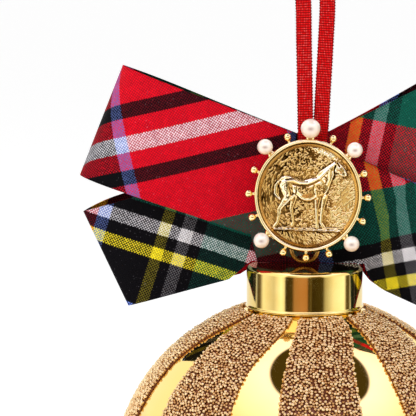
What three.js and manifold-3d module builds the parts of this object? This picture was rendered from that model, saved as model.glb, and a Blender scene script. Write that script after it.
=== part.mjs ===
// A Christmas bauble on a red hanging ribbon: a gold mirror ball with eight stripes of fine beads, a polished cap,
// a tartan bow of two crossed ribbon loops, and an oval gold medallion with a standing horse, ringed with small
// gold balls and five pearls. Millimetres, +Z up, the medallion faces -Y. The origin is where the loop hangs.
import * as THREE from "three";
import { mergeVertices } from "three/addons/utils/BufferGeometryUtils.js";
import Module from "manifold-3d";

// Gap kept between pieces that touch
const GAP = 0.3;

// Cap and ball, turned about the Z axis
const CAP_TOP = -90;
const CAP_RADIUS = 15.14;
const CAP_HEIGHT = 11;
const CAP_WALL = 0.8;
const CAP_EDGE_ROUND = 1.3;
const CAP_LIP = 0.3;
const CAP_LIP_HEIGHT = 0.9;
const CAP_SIDES = 36;
const BALL_RADIUS = 50;
const BALL_CENTRE = -149;
const BALL_ROWS = 14;
const NECK_RADIUS = CAP_RADIUS - CAP_WALL - GAP - 0.05;
const NECK_TOP = CAP_TOP - CAP_WALL - GAP;

// Bead stripes: azimuth 0 faces the front, polar angles run down from the cap
const STRIPES = 8;
const STRIPE_PITCH = 360 / STRIPES;
const STRIPE_FIRST = 5.6;
const STRIPE_WIDTH = 28;
const STRIPE_FLARE = 10;
const STRIPE_TWIST = 9;
const STRIPE_START = 19;
const STRIPE_END = 168;
const STRIPE_CELLS = 3;
const PLAIN_CELLS = 2;
const BEAD_DIAMETER = 0.9;

// Ring on the cap, which carries the ribbon
const RING_RADIUS = 3.5;
const RING_WIRE = 0.6;
const RING_CENTRE = CAP_TOP + GAP + RING_RADIUS + RING_WIRE;

// Medallion: a leaning oval, sizes in its own plane, depth from its flat back
const MEDALLION_CENTRE = [0.8, -4.7, -71.4];
const MEDALLION_LEAN = 10;
const MEDALLION_ROLL = -1.8;
const MEDALLION_HALF_HEIGHT = 14.4;
const MEDALLION_SQUEEZE = 0.95;
const MEDALLION_SIDES = 36;
const COIN_DEPTH = 1.5;
const RIM_DEPTH = 3.0;
const HOLDERS = 16;
const PRONG_REACH = 16;
const PRONG_BALL = 0.93;
const PRONG_STEM = 0.36;
const PRONG_DEPTH = 1.15;
const PEARL_SEAT = 0.5;
const SMALL_PEARL = { radius: 2.0, reach: 17.0 };
const LARGE_PEARL = { radius: 2.5, reach: 17.1 };
const RELIEF_FLATNESS = 0.5;
const THICK_LIMB = 0.9;

// Horse: named joints in the medallion's plane, each with its radius
const HORSE = {
  croup: [-4.9, 2.5, 2.25],
  loin: [-1.7, 1.8, 2.15],
  girth: [0.3, 1.5, 2.6],
  shoulder: [3.0, 2.3, 2.7],
  breast: [3.0, 2.6, 2.3],
  neck: [4.6, 4.7, 1.75],
  throat: [6.2, 6.6, 1.2],
  poll: [6.9, 7.6, 1.0],
  ear: [7.15, 9.1, 0.16],
  cheek: [7.5, 6.8, 1.0],
  muzzle: [9.1, 5.35, 0.6],
  thigh: [-5.1, 1.4, 1.9],
  stifle: [-5.1, -0.7, 1.2],
  hock: [-7.1, -3.4, 0.52],
  hindFetlock: [-7.4, -6.5, 0.4],
  hindHoof: [-7.6, -7.4, 0.62],
  farStifle: [-4.1, -0.4, 0.95],
  farHock: [-4.25, -3.3, 0.48],
  farHindFetlock: [-3.9, -5.9, 0.36],
  farHindHoof: [-3.75, -7.1, 0.52],
  elbow: [3.9, 0.3, 1.15],
  knee: [3.65, -2.9, 0.52],
  foreFetlock: [3.55, -6.0, 0.4],
  foreHoof: [4.05, -7.3, 0.6],
  farElbow: [2.45, 0.0, 0.85],
  farKnee: [2.5, -3.0, 0.45],
  farForeFetlock: [2.6, -6.0, 0.35],
  farForeHoof: [2.7, -7.1, 0.5],
  dock: [-6.7, 3.9, 0.45],
  tailBend: [-8.2, 2.6, 0.5],
  tailFall: [-8.35, 0.5, 0.42],
  tailTip: [-7.6, -1.0, 0.2],
};
const HORSE_LIMBS = [
  ["croup", "loin", "girth", "shoulder"],
  ["breast", "neck", "throat", "poll"],
  ["poll", "ear"],
  ["cheek", "muzzle"],
  ["thigh", "stifle", "hock", "hindFetlock", "hindHoof"],
  ["farStifle", "farHock", "farHindFetlock", "farHindHoof"],
  ["elbow", "knee", "foreFetlock", "foreHoof"],
  ["farElbow", "farKnee", "farForeFetlock", "farForeHoof"],
  ["dock", "tailBend", "tailFall", "tailTip"],
];
const GROUND = { width: 19.2, height: 1.0, depth: 0.7, level: -8.25 };

// Bow: each band is a flat loop of ribbon on both sides of its waist. Waists and folds are [x, z] of their middles,
// with the lean of the line across the ribbon from upright.
const RIBBON_WALL = 0.5;
const BAND_SLACK = 0.35;
const BAND_STATIONS = 10;
const BAND_CELLS = 3;
const BAND_REACH = 57;
const FRONT_BAND = {
  depth: 3.6,
  waist: { at: [0.5, -72.4], width: 28.8, lean: 21.5 },
  left: { at: [-53.2, -52.6], width: 31, lean: 21.7, front: 5.4, back: -0.6 },
  right: { at: [53, -94.9], width: 29, lean: 22.3, front: 5.4, back: -0.6 },
};
const BACK_BAND = {
  depth: 5.9,
  waist: { at: [0.5, -74.6], width: 28.8, lean: -24 },
  left: { at: [-52.5, -89.5], width: 27.8, lean: -25.2, front: 0.3, back: 5.6 },
  right: { at: [52.5, -48.5], width: 28.6, lean: -24.8, front: 0.3, back: 5.6 },
};
const BOW_LEAN = 0.1;
const BOW_REST = CAP_TOP + 0.45;
const BOW_REST_REACH = 16.8;
const BOW_REST_SLOPE = 1.3;

// Hanging ribbon: the line of its middle, from under the ring's top, up in front, over, and down behind
const HANGER_WIDTH = 4.1;
const HANGER_THICKNESS = 0.5;
const HANGER_STEPS = 46;
const HANGER_TWIST = { from: -20, to: -5 };
const HANGER_LINE = [
  [-0.1, -0.35, -84.9],
  [-0.1, -1.0, -84.5],
  [-0.1, -1.2, -83.2],
  [-0.25, -1.1, -78],
  [-0.15, -0.9, -70],
  [-0.05, -0.75, -62],
  [0, -0.6, -55],
  [-0.2, -0.45, -44],
  [-0.5, -0.25, -32],
  [-0.75, -0.1, -21.3],
  [-1.4, 0, -14],
  [-2.3, 0, -8],
  [-2.9, 0, -3.8],
  [-2.2, 0, -0.9],
  [0, 0, 0.25],
  [2.2, 0, -0.9],
  [2.9, 0, -3.8],
  [3.7, 0, -8],
  [4.8, 0, -14],
  [5.45, 0.05, -21.3],
  [5.1, 0.15, -32],
  [4.5, 0.3, -44],
  [3.9, 0.5, -55],
  [3.1, 0.7, -62],
  [2.0, 0.95, -70],
  [0.8, 1.1, -78],
  [0.1, 1.2, -83.2],
  [0.1, 1.0, -84.5],
  [0.1, 0.35, -84.9],
];

const wasm = await Module();
wasm.setup();

const rad = THREE.MathUtils.degToRad;
const lerp = THREE.MathUtils.lerp;
const clamp = THREE.MathUtils.clamp;

// Finishes
const GOLD = { color: 0xe8b64c, roughness: 0.12, metalness: 1 };
const OLD_GOLD = { color: 0xd9a441, roughness: 0.3, metalness: 1 };
const BEAD_GOLD = { color: 0xc99a5b, roughness: 0.35, metalness: 0.9 };
const STEEL = { color: 0xb9b2a6, roughness: 0.25, metalness: 1 };
const PEARL = { color: 0xfff1e6, roughness: 0.25, metalness: 0 };
const TARTAN = { color: 0xc4142a, roughness: 0.85, metalness: 0 };
const RED_RIBBON = { color: 0xc8101f, roughness: 0.7, metalness: 0 };

function named(name, geometry, finish) {
  const mesh = new THREE.Mesh(geometry, new THREE.MeshStandardMaterial(finish));
  mesh.name = name;
  return mesh;
}

// Geometry to solid and back
function positionsOnly(geometry) {
  const plain = geometry.clone();
  plain.deleteAttribute("normal");
  plain.deleteAttribute("uv");
  return mergeVertices(plain, 1e-4);
}

function solid(geometry) {
  const merged = positionsOnly(geometry);
  const mesh = new wasm.Mesh({
    numProp: 3,
    vertProperties: new Float32Array(merged.attributes.position.array),
    triVerts: new Uint32Array(merged.index.array),
  });
  return new wasm.Manifold(mesh);
}

function geometryOf(body) {
  const mesh = body.getMesh();
  const geometry = new THREE.BufferGeometry();
  geometry.setAttribute("position", new THREE.BufferAttribute(mesh.vertProperties, 3));
  geometry.setIndex(new THREE.BufferAttribute(mesh.triVerts, 1));
  geometry.computeVertexNormals();
  return geometry;
}

// A profile of [radius, height] pairs turned about the Z axis
function turned(profile, sides) {
  const points = profile.map(([r, z]) => new THREE.Vector2(r, z));
  return new THREE.LatheGeometry(points, sides).rotateX(Math.PI / 2);
}

function movePoints(geometry, move) {
  const position = geometry.attributes.position;
  const point = new THREE.Vector3();
  for (let i = 0; i < position.count; i++) {
    move(point.fromBufferAttribute(position, i));
    position.setXYZ(i, point.x, point.y, point.z);
  }
  geometry.computeVertexNormals();
  return geometry;
}

// Points of a quarter arc in a profile, from one angle to another
function arc(radius, height, size, from, to, steps) {
  return Array.from({ length: steps + 1 }, (_, i) => {
    const angle = rad(lerp(from, to, i / steps));
    return [radius + size * Math.cos(angle), height + size * Math.sin(angle)];
  });
}

// The stripes' width and place vary with the polar angle: wide and closely set near the cap
function flareAt(polar) {
  return Math.exp(-Math.pow((polar - STRIPE_START) / 16, 2));
}

function stripeHalfWidth(polar) {
  const bottom = Math.exp(-Math.pow((STRIPE_END - polar) / 16, 2));
  return (STRIPE_WIDTH + STRIPE_FLARE * (flareAt(polar) + bottom)) / 2;
}

function stripeCentre(stripe, polar) {
  return STRIPE_FIRST + stripe * STRIPE_PITCH + STRIPE_TWIST * flareAt(polar);
}

// Direction from the ball's centre, azimuth turning from the front towards +X
function onBall(polar, azimuth, radius) {
  const flat = radius * Math.sin(rad(polar));
  return new THREE.Vector3(
    flat * Math.sin(rad(azimuth)),
    -flat * Math.cos(rad(azimuth)),
    BALL_CENTRE + radius * Math.cos(rad(polar)),
  );
}

// Azimuths of one row: the cells of each stripe, then those of the plain gold beside it
function rowAzimuths(polar) {
  const half = stripeHalfWidth(polar);
  const azimuths = [];
  for (let stripe = 0; stripe < STRIPES; stripe++) {
    const centre = stripeCentre(stripe, polar);
    for (let i = 0; i < STRIPE_CELLS; i++) {
      azimuths.push(centre + lerp(-half, half, i / STRIPE_CELLS));
    }
    for (let i = 0; i < PLAIN_CELLS; i++) {
      azimuths.push(centre + lerp(half, STRIPE_PITCH - half, i / PLAIN_CELLS));
    }
  }
  return azimuths;
}

function rowPolar(row) {
  return lerp(STRIPE_START, STRIPE_END, row / BALL_ROWS);
}

// The glass: the sphere below the cap with its neck inside the cap. Its facets run along the stripes' edges.
function ballGeometry() {
  const cells = STRIPES * (STRIPE_CELLS + PLAIN_CELLS);
  const shoulder = Math.asin(NECK_RADIUS / BALL_RADIUS) * THREE.MathUtils.RAD2DEG;
  const polars = [shoulder, shoulder];
  for (let row = 0; row <= BALL_ROWS; row++) polars.push(rowPolar(row));
  const profile = [[0, 1]].concat(polars.map((_, i) => [1, -i])).concat([[0, -polars.length]]);
  return movePoints(turned(profile.reverse(), cells), (point) => {
    if (Math.hypot(point.x, point.y) < 0.5) {
      point.set(0, 0, point.z > 0 ? NECK_TOP : BALL_CENTRE - BALL_RADIUS);
      return;
    }
    const row = Math.round(-point.z);
    const turn = Math.atan2(point.y, point.x) / (2 * Math.PI);
    const cell = (Math.round(turn * cells) + cells) % cells;
    const azimuth = rowAzimuths(polars[row])[cell];
    point.copy(onBall(polars[row], azimuth, BALL_RADIUS));
    if (row === 0) point.z = NECK_TOP;
  });
}

// One stripe: a thin band of fused beads lying just over the glass
function stripeGeometry(stripe) {
  const inner = BALL_RADIUS + GAP * 0.8;
  const outer = BALL_RADIUS + BEAD_DIAMETER;
  const slab = new THREE.BoxGeometry(1, 1, 1, STRIPE_CELLS, BALL_ROWS, 1);
  return movePoints(slab, (point) => {
    const polar = lerp(STRIPE_START, STRIPE_END, 0.5 - point.y);
    const half = stripeHalfWidth(polar);
    const azimuth = stripeCentre(stripe, polar) + 2 * half * point.x;
    point.copy(onBall(polar, azimuth, point.z > 0 ? outer : inner));
  });
}

// Polished cap: a thin cup turned over the neck, with a rounded shoulder and a rolled lip
function capGeometry() {
  const bottom = CAP_TOP - CAP_HEIGHT;
  const lip = CAP_LIP_HEIGHT / 2;
  const inside = CAP_RADIUS - CAP_WALL;
  return turned(
    [
      [0, CAP_TOP - CAP_WALL],
      [inside, CAP_TOP - CAP_WALL],
      [inside, bottom],
      [CAP_RADIUS, bottom],
      ...arc(CAP_RADIUS + CAP_LIP - lip, bottom + lip, lip, -60, 60, 2),
      [CAP_RADIUS, bottom + CAP_LIP_HEIGHT],
      ...arc(CAP_RADIUS - CAP_EDGE_ROUND, CAP_TOP - CAP_EDGE_ROUND, CAP_EDGE_ROUND, 0, 90, 3),
      [0, CAP_TOP],
    ],
    CAP_SIDES,
  );
}

function ringGeometry() {
  const ring = new THREE.TorusGeometry(RING_RADIUS, RING_WIRE, 6, 18);
  return ring.rotateX(Math.PI / 2).translate(0, 0, RING_CENTRE);
}

// A limb through its joints: one round tube with a ring at each joint and rounded ends
function limbSolid(names) {
  const joints = names.map((name) => HORSE[name]);
  const last = joints.length - 1;
  const widest = Math.max(...joints.map(([, , radius]) => radius));
  const rings = Array.from({ length: joints.length + 2 }, (_, i) => [1, i - 1]);
  const tube = turned([[0, -2], ...rings, [0, last + 2]], widest > THICK_LIMB ? 10 : 6);
  return solid(movePoints(tube, (point) => {
    const ring = clamp(Math.round(point.z), 0, last);
    const pastEnd = Math.round(point.z) - ring;
    const nearEnd = Math.abs(pastEnd) === 1;
    const [x, y, radius] = joints[ring];
    const [fromX, fromY] = joints[Math.max(0, ring - 1)];
    const [toX, toY] = joints[Math.min(last, ring + 1)];
    const heading = Math.atan2(toY - fromY, toX - fromX);
    const along = Math.sign(pastEnd) * radius * (nearEnd ? 0.65 : 0.95);
    const size = radius * (nearEnd ? 0.75 : 1);
    const side = size * point.x;
    point.set(
      x + along * Math.cos(heading) - side * Math.sin(heading),
      y + along * Math.sin(heading) + side * Math.cos(heading),
      size * point.y,
    );
  }));
}

// The standing horse and the ground under it, as one relief
function horseSolid() {
  let horse = solid(new THREE.BoxGeometry(GROUND.width, GROUND.height, 2 * GROUND.depth / RELIEF_FLATNESS)
    .translate(0, GROUND.level, 0));
  for (const limb of HORSE_LIMBS) horse = horse.add(limbSolid(limb));
  return horse.scale([1, 1, RELIEF_FLATNESS]).translate([0, 0, COIN_DEPTH]);
}

// Oval coin in its stepped frame
function coinSolid() {
  const edge = MEDALLION_HALF_HEIGHT;
  const profile = [
    [0, 0],
    [edge, 0],
    [edge, 0.8],
    [edge - 0.35, 1.0],
    [edge - 0.4, RIM_DEPTH - 0.3],
    [edge - 0.7, RIM_DEPTH],
    [edge - 1.1, RIM_DEPTH - 0.2],
    [edge - 1.35, RIM_DEPTH - 0.8],
    [edge - 1.75, COIN_DEPTH + 0.3],
    [edge - 2.0, COIN_DEPTH],
    [0, COIN_DEPTH],
  ];
  return solid(turned(profile, MEDALLION_SIDES).scale(MEDALLION_SQUEEZE, 1, 1));
}

// Holder places: sixteen round the rim, the first at the top, the index turning to the left. The top and the four
// diagonals carry a pearl, the others a small ball.
function holderPlace(index, reach) {
  const angle = rad(90 + index * 360 / HOLDERS);
  return [MEDALLION_SQUEEZE * reach * Math.cos(angle), reach * Math.sin(angle)];
}

const PEARL_HOLDERS = {
  pearl_top: { index: 0, ...LARGE_PEARL },
  pearl_upper_left: { index: 2, ...SMALL_PEARL },
  pearl_lower_left: { index: 6, ...SMALL_PEARL },
  pearl_lower_right: { index: 10, ...SMALL_PEARL },
  pearl_upper_right: { index: 14, ...SMALL_PEARL },
};

// A stem from the rim outwards, wide at its foot
function stemSolid(index, foot, tip, reach, depth) {
  const start = MEDALLION_HALF_HEIGHT - 1.2;
  const [x, y] = holderPlace(index, (start + reach) / 2);
  const [dx, dy] = holderPlace(index, 1);
  const length = (reach - start) * Math.hypot(dx, dy);
  return solid(new THREE.CylinderGeometry(tip, foot, length, 5)
    .rotateZ(Math.atan2(dy, dx) - Math.PI / 2)
    .translate(x, y, depth));
}

function prongSolid(index) {
  const [x, y] = holderPlace(index, PRONG_REACH);
  const ball = new THREE.SphereGeometry(PRONG_BALL, 6, 4).rotateX(Math.PI / 2).translate(x, y, PRONG_DEPTH);
  return solid(ball).add(stemSolid(index, 2 * PRONG_STEM, PRONG_STEM, PRONG_REACH, PRONG_DEPTH));
}

// Depth of a pearl's middle: it sits over the floor of its cup
function pearlDepth(radius) {
  return PEARL_SEAT + GAP + radius;
}

// A shallow cup behind each pearl, hollowed by the pearl's own round
function cupSolid({ index, radius, reach }) {
  const [x, y] = holderPlace(index, reach);
  const height = pearlDepth(radius) - 0.72 * radius;
  const cup = solid(new THREE.CylinderGeometry(radius, 0.6 * radius, height, 8)
    .rotateX(Math.PI / 2)
    .translate(x, y, height / 2));
  const hollow = new THREE.SphereGeometry(radius + GAP, 8, 6).translate(x, y, pearlDepth(radius));
  return cup.add(stemSolid(index, 0.4 * radius, 0.4 * radius, reach, 0.4 * radius)).subtract(solid(hollow));
}

function medallionSolid() {
  let body = coinSolid().add(horseSolid());
  const pearls = Object.values(PEARL_HOLDERS);
  const pearlPlaces = pearls.map((pearl) => pearl.index);
  for (let index = 0; index < HOLDERS; index++) {
    if (!pearlPlaces.includes(index)) body = body.add(prongSolid(index));
  }
  for (const pearl of pearls) body = body.add(cupSolid(pearl));
  return body;
}

// Medallion with its pearls, leaning back against the bow
function medallionGroup() {
  const group = new THREE.Group();
  group.position.set(...MEDALLION_CENTRE);
  group.rotation.set(rad(90 - MEDALLION_LEAN), 0, rad(MEDALLION_ROLL));
  group.add(named("medallion", geometryOf(medallionSolid()), OLD_GOLD));
  for (const [name, { index, radius, reach }] of Object.entries(PEARL_HOLDERS)) {
    const pearl = named(name, new THREE.SphereGeometry(radius, 10, 7), PEARL);
    const [x, y] = holderPlace(index, reach);
    pearl.position.set(x, y, pearlDepth(radius));
    group.add(pearl);
  }
  return group;
}

// Half the room inside a band at a share of the way from waist to fold, before its bulge
function bandRoom(share) {
  return lerp(BAND_SLACK, 0.8, share * share) * Math.sqrt(1 - Math.pow(share, 14));
}

// Shares of the way from waist to fold, the last one at the fold itself
function bandShare(station) {
  return station === BAND_STATIONS ? 1 : 0.985 * Math.pow(station / (BAND_STATIONS - 1), 0.9);
}

// Points across the ribbon's width at a waist or fold: t runs from the lower edge, -1, to the upper, 1
function across({ at, width, lean }, t) {
  const reach = (t * width) / 2;
  return [at[0] + reach * Math.sin(rad(lean)), at[1] + reach * Math.cos(rad(lean))];
}

// Where a band meets the cap, its lower edge lies on the cap's top: how far that lifts the edge
function liftByCap(x, y, z) {
  const outside = Math.max(0, Math.hypot(x, y) - BOW_REST_REACH);
  return Math.max(0, BOW_REST - BOW_REST_SLOPE * outside - z);
}

// One band: a ring of ribbon wall, drawn out flat so that its far left and right are the folds
function bandGeometry(band) {
  const levels = Array.from({ length: BAND_CELLS + 1 }, (_, i) => lerp(-1, 1, i / BAND_CELLS));
  const outer = levels.map((t) => [2, t]);
  const inner = levels.map((t) => [1, t]).reverse();
  const wall = turned([...outer, ...inner, outer[0]], 4 * BAND_STATIONS);
  return movePoints(wall, (point) => {
    const turn = Math.round((Math.atan2(point.y, point.x) / (2 * Math.PI)) * 4 * BAND_STATIONS);
    const fromRightFold = Math.abs(turn);
    const onRight = fromRightFold <= BAND_STATIONS;
    const side = onRight ? band.right : band.left;
    const share = bandShare(Math.abs(BAND_STATIONS - fromRightFold));
    const face = share === 1 ? 0 : Math.sign(turn);
    const wallOffset = Math.hypot(point.x, point.y) > 1.5 ? RIBBON_WALL : 0;
    const t = point.z;
    const reach = share + (share === 1 ? wallOffset / BAND_REACH : 0);
    const [wx, wz] = across(band.waist, t);
    const [fx, fz] = across(side, t);
    const x = lerp(wx, fx, reach);
    const z = lerp(wz, fz, reach);
    const swell = Math.pow(Math.sin(Math.PI * share), 2) * (1 - 0.35 * t * t);
    const bulge = face < 0 ? side.front : side.back;
    const y = band.depth + face * (bandRoom(share) + wallOffset + bulge * swell);
    const back = y + BOW_LEAN * Math.max(0, band.waist.at[1] - z) * (1 - share);
    const lowX = lerp(across(band.waist, -1)[0], across(side, -1)[0], share);
    const lowZ = lerp(across(band.waist, -1)[1], across(side, -1)[1], share);
    point.set(x, back, z + (liftByCap(lowX, back, lowZ) * (1 - t)) / 2);
  });
}

// A curve whose flat section faces the front below and turns side-on where the ribbon loops over
class HangerLine extends THREE.CatmullRomCurve3 {
  constructor() {
    super(HANGER_LINE.map((p) => new THREE.Vector3(...p)));
  }

  computeFrenetFrames(segments) {
    const frames = { tangents: [], normals: [], binormals: [] };
    for (let i = 0; i <= segments; i++) {
      const tangent = this.getTangentAt(i / segments).normalize();
      const height = this.getPointAt(i / segments).z;
      const turned = THREE.MathUtils.smoothstep(height, HANGER_TWIST.from, HANGER_TWIST.to) * 90;
      const angle = rad(2 * i < segments ? turned : 180 - turned);
      const across = new THREE.Vector3(Math.cos(angle), Math.sin(angle), 0);
      across.addScaledVector(tangent, -across.dot(tangent)).normalize();
      frames.tangents.push(tangent);
      frames.normals.push(across);
      frames.binormals.push(new THREE.Vector3().crossVectors(tangent, across));
    }
    return frames;
  }
}

function hangerGeometry() {
  const half = HANGER_WIDTH / 2;
  const thin = HANGER_THICKNESS / 2;
  const section = new THREE.Shape([
    [-half, -thin / 2],
    [-half + thin, -thin],
    [half - thin, -thin],
    [half, -thin / 2],
    [half, thin / 2],
    [half - thin, thin],
    [-half + thin, thin],
    [-half, thin / 2],
  ].map(([x, y]) => new THREE.Vector2(x, y)));
  return new THREE.ExtrudeGeometry(section, { steps: HANGER_STEPS, extrudePath: new HangerLine() });
}

const ornament = new THREE.Group();
ornament.add(named("ball", ballGeometry(), GOLD));
ornament.add(named("cap", capGeometry(), GOLD));
ornament.add(named("cap_ring", ringGeometry(), STEEL));
for (let stripe = 0; stripe < STRIPES; stripe++) {
  ornament.add(named("bead_stripe_" + (stripe + 1), stripeGeometry(stripe), BEAD_GOLD));
}
ornament.add(medallionGroup());
ornament.add(named("bow_band_front", bandGeometry(FRONT_BAND), TARTAN));
ornament.add(named("bow_band_back", bandGeometry(BACK_BAND), TARTAN));
ornament.add(named("hanging_ribbon", hangerGeometry(), RED_RIBBON));

export default ornament;
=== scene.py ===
"""A horse Christmas ornament: a beaded gold ball under a tartan bow with an oval horse medallion.

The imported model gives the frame: the origin is the top inside of the ribbon loop, Z runs up the ball's axis and
the medallion faces -Y. Sizes in the classes are millimetres, and every mesh is written in metres.
"""

import logging
import math
from dataclasses import dataclass, field
from enum import Enum

import bpy
import numpy as np
from mathutils import Matrix, Vector


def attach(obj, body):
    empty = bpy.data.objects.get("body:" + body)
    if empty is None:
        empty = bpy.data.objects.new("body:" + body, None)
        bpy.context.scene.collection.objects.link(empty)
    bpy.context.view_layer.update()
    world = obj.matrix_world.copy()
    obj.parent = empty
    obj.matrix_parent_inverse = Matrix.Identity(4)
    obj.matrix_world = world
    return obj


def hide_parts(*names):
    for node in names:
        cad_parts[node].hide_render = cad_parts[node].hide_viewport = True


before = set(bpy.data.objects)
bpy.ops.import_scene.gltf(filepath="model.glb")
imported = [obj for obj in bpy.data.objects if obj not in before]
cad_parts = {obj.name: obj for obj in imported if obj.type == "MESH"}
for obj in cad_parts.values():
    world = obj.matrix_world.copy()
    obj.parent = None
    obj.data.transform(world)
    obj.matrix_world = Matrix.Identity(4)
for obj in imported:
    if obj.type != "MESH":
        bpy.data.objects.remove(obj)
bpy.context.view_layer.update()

LOG = logging.getLogger("ornament")
MM = 0.001
BODY = "root"
SEED = 7
GAMMA = 2.2
TURN = 360.0

CAP_TOP = -90.0
CAP_RADIUS = 15.14
CAP_HEIGHT = 11.0
CAP_WALL = 0.8
BALL_RADIUS = 50.0
BALL_CENTRE = -149.0
NECK_RADIUS = CAP_RADIUS - CAP_WALL - 0.35
NECK_TOP = CAP_TOP - CAP_WALL - 0.3


class Slot(Enum):
    """The record's material slots."""

    GOLD_MIRROR = "gold_mirror"
    GOLD_CAP = "gold_cap"
    BEAD_GOLD = "bead_gold"
    STEEL_RING = "steel_ring"
    OLD_GOLD = "old_gold"
    PEARL = "pearl"
    TARTAN = "tartan"
    RED_RIBBON = "red_ribbon"


# Colour


def shown(red: int, green: int, blue: int) -> tuple[float, float, float, float]:
    """A display colour, from shares of 255 to shares of 1, for mixing as the eye sees it."""
    return (red / 255, green / 255, blue / 255, 1.0)


def linear(red: int, green: int, blue: int) -> tuple[float, float, float, float]:
    """A display colour, from shares of 255, as linear light."""
    return tuple(share ** GAMMA for share in shown(red, green, blue))


# Meshes


def add_object(name: str, data: bpy.types.ID) -> bpy.types.Object:
    """Adds an object to the scene, at the origin.

    Args:
        name: Its name.
        data: Its mesh, camera or light.

    Returns:
        The new object.
    """
    item = bpy.data.objects.new(name, data)
    bpy.context.scene.collection.objects.link(item)
    return item


def make_object(name: str, points: np.ndarray, faces: list, smooth: bool = True) -> bpy.types.Object:
    """Makes a mesh object at the origin from points in millimetres.

    Args:
        name: The piece's name.
        points: The points, one row of three numbers each.
        faces: The corners of each face.
        smooth: Whether the faces are shaded smooth.

    Returns:
        The new object.
    """
    mesh = bpy.data.meshes.new(name)
    mesh.from_pydata((np.asarray(points, float) * MM).tolist(), [], faces)
    mesh.polygons.foreach_set("use_smooth", [smooth] * len(mesh.polygons))
    mesh.update()
    return add_object(name, mesh)


def grid_faces(rows: int, columns: int, closed_rows: bool = False, closed_columns: bool = False) -> list:
    """Faces of a grid of points that lie row after row.

    Args:
        rows: The number of rows.
        columns: The number of points in a row.
        closed_rows: Whether the last row joins the first.
        closed_columns: Whether each row closes on itself.

    Returns:
        The four corners of each face.
    """
    faces = []
    for i in range(rows if closed_rows else rows - 1):
        for j in range(columns if closed_columns else columns - 1):
            right, below = (j + 1) % columns, (i + 1) % rows
            faces.append((i * columns + j, i * columns + right, below * columns + right, below * columns + j))
    return faces


def grid_border(rows: int, columns: int) -> list:
    """The points around the edge of such a grid, in order.

    Args:
        rows: The number of rows.
        columns: The number of points in a row.

    Returns:
        The points' numbers.
    """
    last = (rows - 1) * columns
    return (list(range(columns)) + [i * columns + columns - 1 for i in range(1, rows)]
            + [last + j for j in range(columns - 2, -1, -1)] + [i * columns for i in range(rows - 2, 0, -1)])


def flipped(faces: list) -> list:
    """The same faces, turned to the other side."""
    return [tuple(reversed(face)) for face in faces]


def arc(radius: float, height: float, size: float, start: float, end: float, steps: int) -> list:
    """Points of an arc in a profile.

    Args:
        radius: The distance of the arc's centre from the axis.
        height: The height of the arc's centre.
        size: The arc's radius.
        start: The first angle in degrees, from straight out.
        end: The last angle in degrees.
        steps: The number of steps.

    Returns:
        Radius and height pairs.
    """
    angles = np.radians(np.linspace(start, end, steps + 1))
    return [(radius + size * math.cos(a), height + size * math.sin(a)) for a in angles]


def turned(profile: list, segments: int) -> tuple[np.ndarray, list]:
    """Turns a profile about the Z axis.

    Args:
        profile: Radius and height pairs from bottom to top on the outside. It starts and ends on the axis, or
            closes on itself.
        segments: The number of faces around.

    Returns:
        The points and the faces, which point outwards.
    """
    rings = [(r, z) for r, z in profile if r > 1e-6]
    poles = [(r, z) for r, z in (profile[0], profile[-1]) if r <= 1e-6]
    angles = np.linspace(0, 2 * math.pi, segments, endpoint=False)
    points = [(r * math.cos(a), r * math.sin(a), z) for r, z in rings for a in angles]
    faces = grid_faces(len(rings), segments, closed_rows=not poles, closed_columns=True)
    if poles:
        bottom, top = len(points), len(points) + 1
        points += [(0, 0, poles[0][1]), (0, 0, poles[1][1])]
        last = (len(rings) - 1) * segments
        for j in range(segments):
            following = (j + 1) % segments
            faces.append((bottom, following, j))
            faces.append((top, last + j, last + following))
    return np.array(points, float), faces


def sphere(radius: float, steps: int, segments: int = 64) -> tuple[np.ndarray, list]:
    """A sphere about the origin.

    Args:
        radius: Its radius.
        steps: The number of faces from pole to pole.
        segments: The number of faces around.

    Returns:
        The points and the faces, which point outwards.
    """
    profile = arc(0, 0, radius, -90, 90, steps)
    profile[0], profile[-1] = (0.0, -radius), (0.0, radius)
    return turned(profile, segments)


def store(piece: bpy.types.Object, name: str, values: np.ndarray) -> None:
    """Writes one number for each point of a mesh.

    Args:
        piece: The mesh object.
        name: The attribute's name.
        values: One number for each point.
    """
    attribute = piece.data.attributes.new(name, "FLOAT", "POINT")
    attribute.data.foreach_set("value", np.asarray(values, np.float32))


def map_weave(piece: bpy.types.Object, places: np.ndarray) -> None:
    """Gives a piece of cloth the UV map Weave, in metres of cloth.

    Args:
        piece: The mesh object.
        places: The place of each point across and along the cloth, in millimetres.
    """
    corners = np.zeros(len(piece.data.loops), int)
    piece.data.loops.foreach_get("vertex_index", corners)
    weave = piece.data.uv_layers.new(name="Weave")
    weave.data.foreach_set("uv", (places[corners] * MM).astype(np.float32).ravel())


def joined(name: str, meshes: list) -> bpy.types.Object:
    """One object from several meshes, with their attributes and UV maps.

    Args:
        name: The new object's name.
        meshes: The meshes.

    Returns:
        The joined object.
    """
    parts = [add_object(name, mesh) for mesh in meshes]
    with bpy.context.temp_override(active_object=parts[0], selected_editable_objects=parts):
        bpy.ops.object.join()
    parts[0].name = name
    return parts[0]


def finish_piece(piece: bpy.types.Object, material: bpy.types.Material, slot: Slot, *nodes: str) -> None:
    """Gives a piece its material and its body, and hides the CAD nodes that it stands for.

    Args:
        piece: The finished object.
        material: Its material, or None where the mesh already has one.
        slot: The record's material slot. It is not used.
        nodes: The CAD nodes that it replaces.
    """
    if material is not None:
        piece.data.materials.clear()
        piece.data.materials.append(material)
    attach(piece, BODY)
    if nodes:
        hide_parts(*nodes)
    LOG.info("%s: %d faces", piece.name, len(piece.data.polygons))


# Materials


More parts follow.
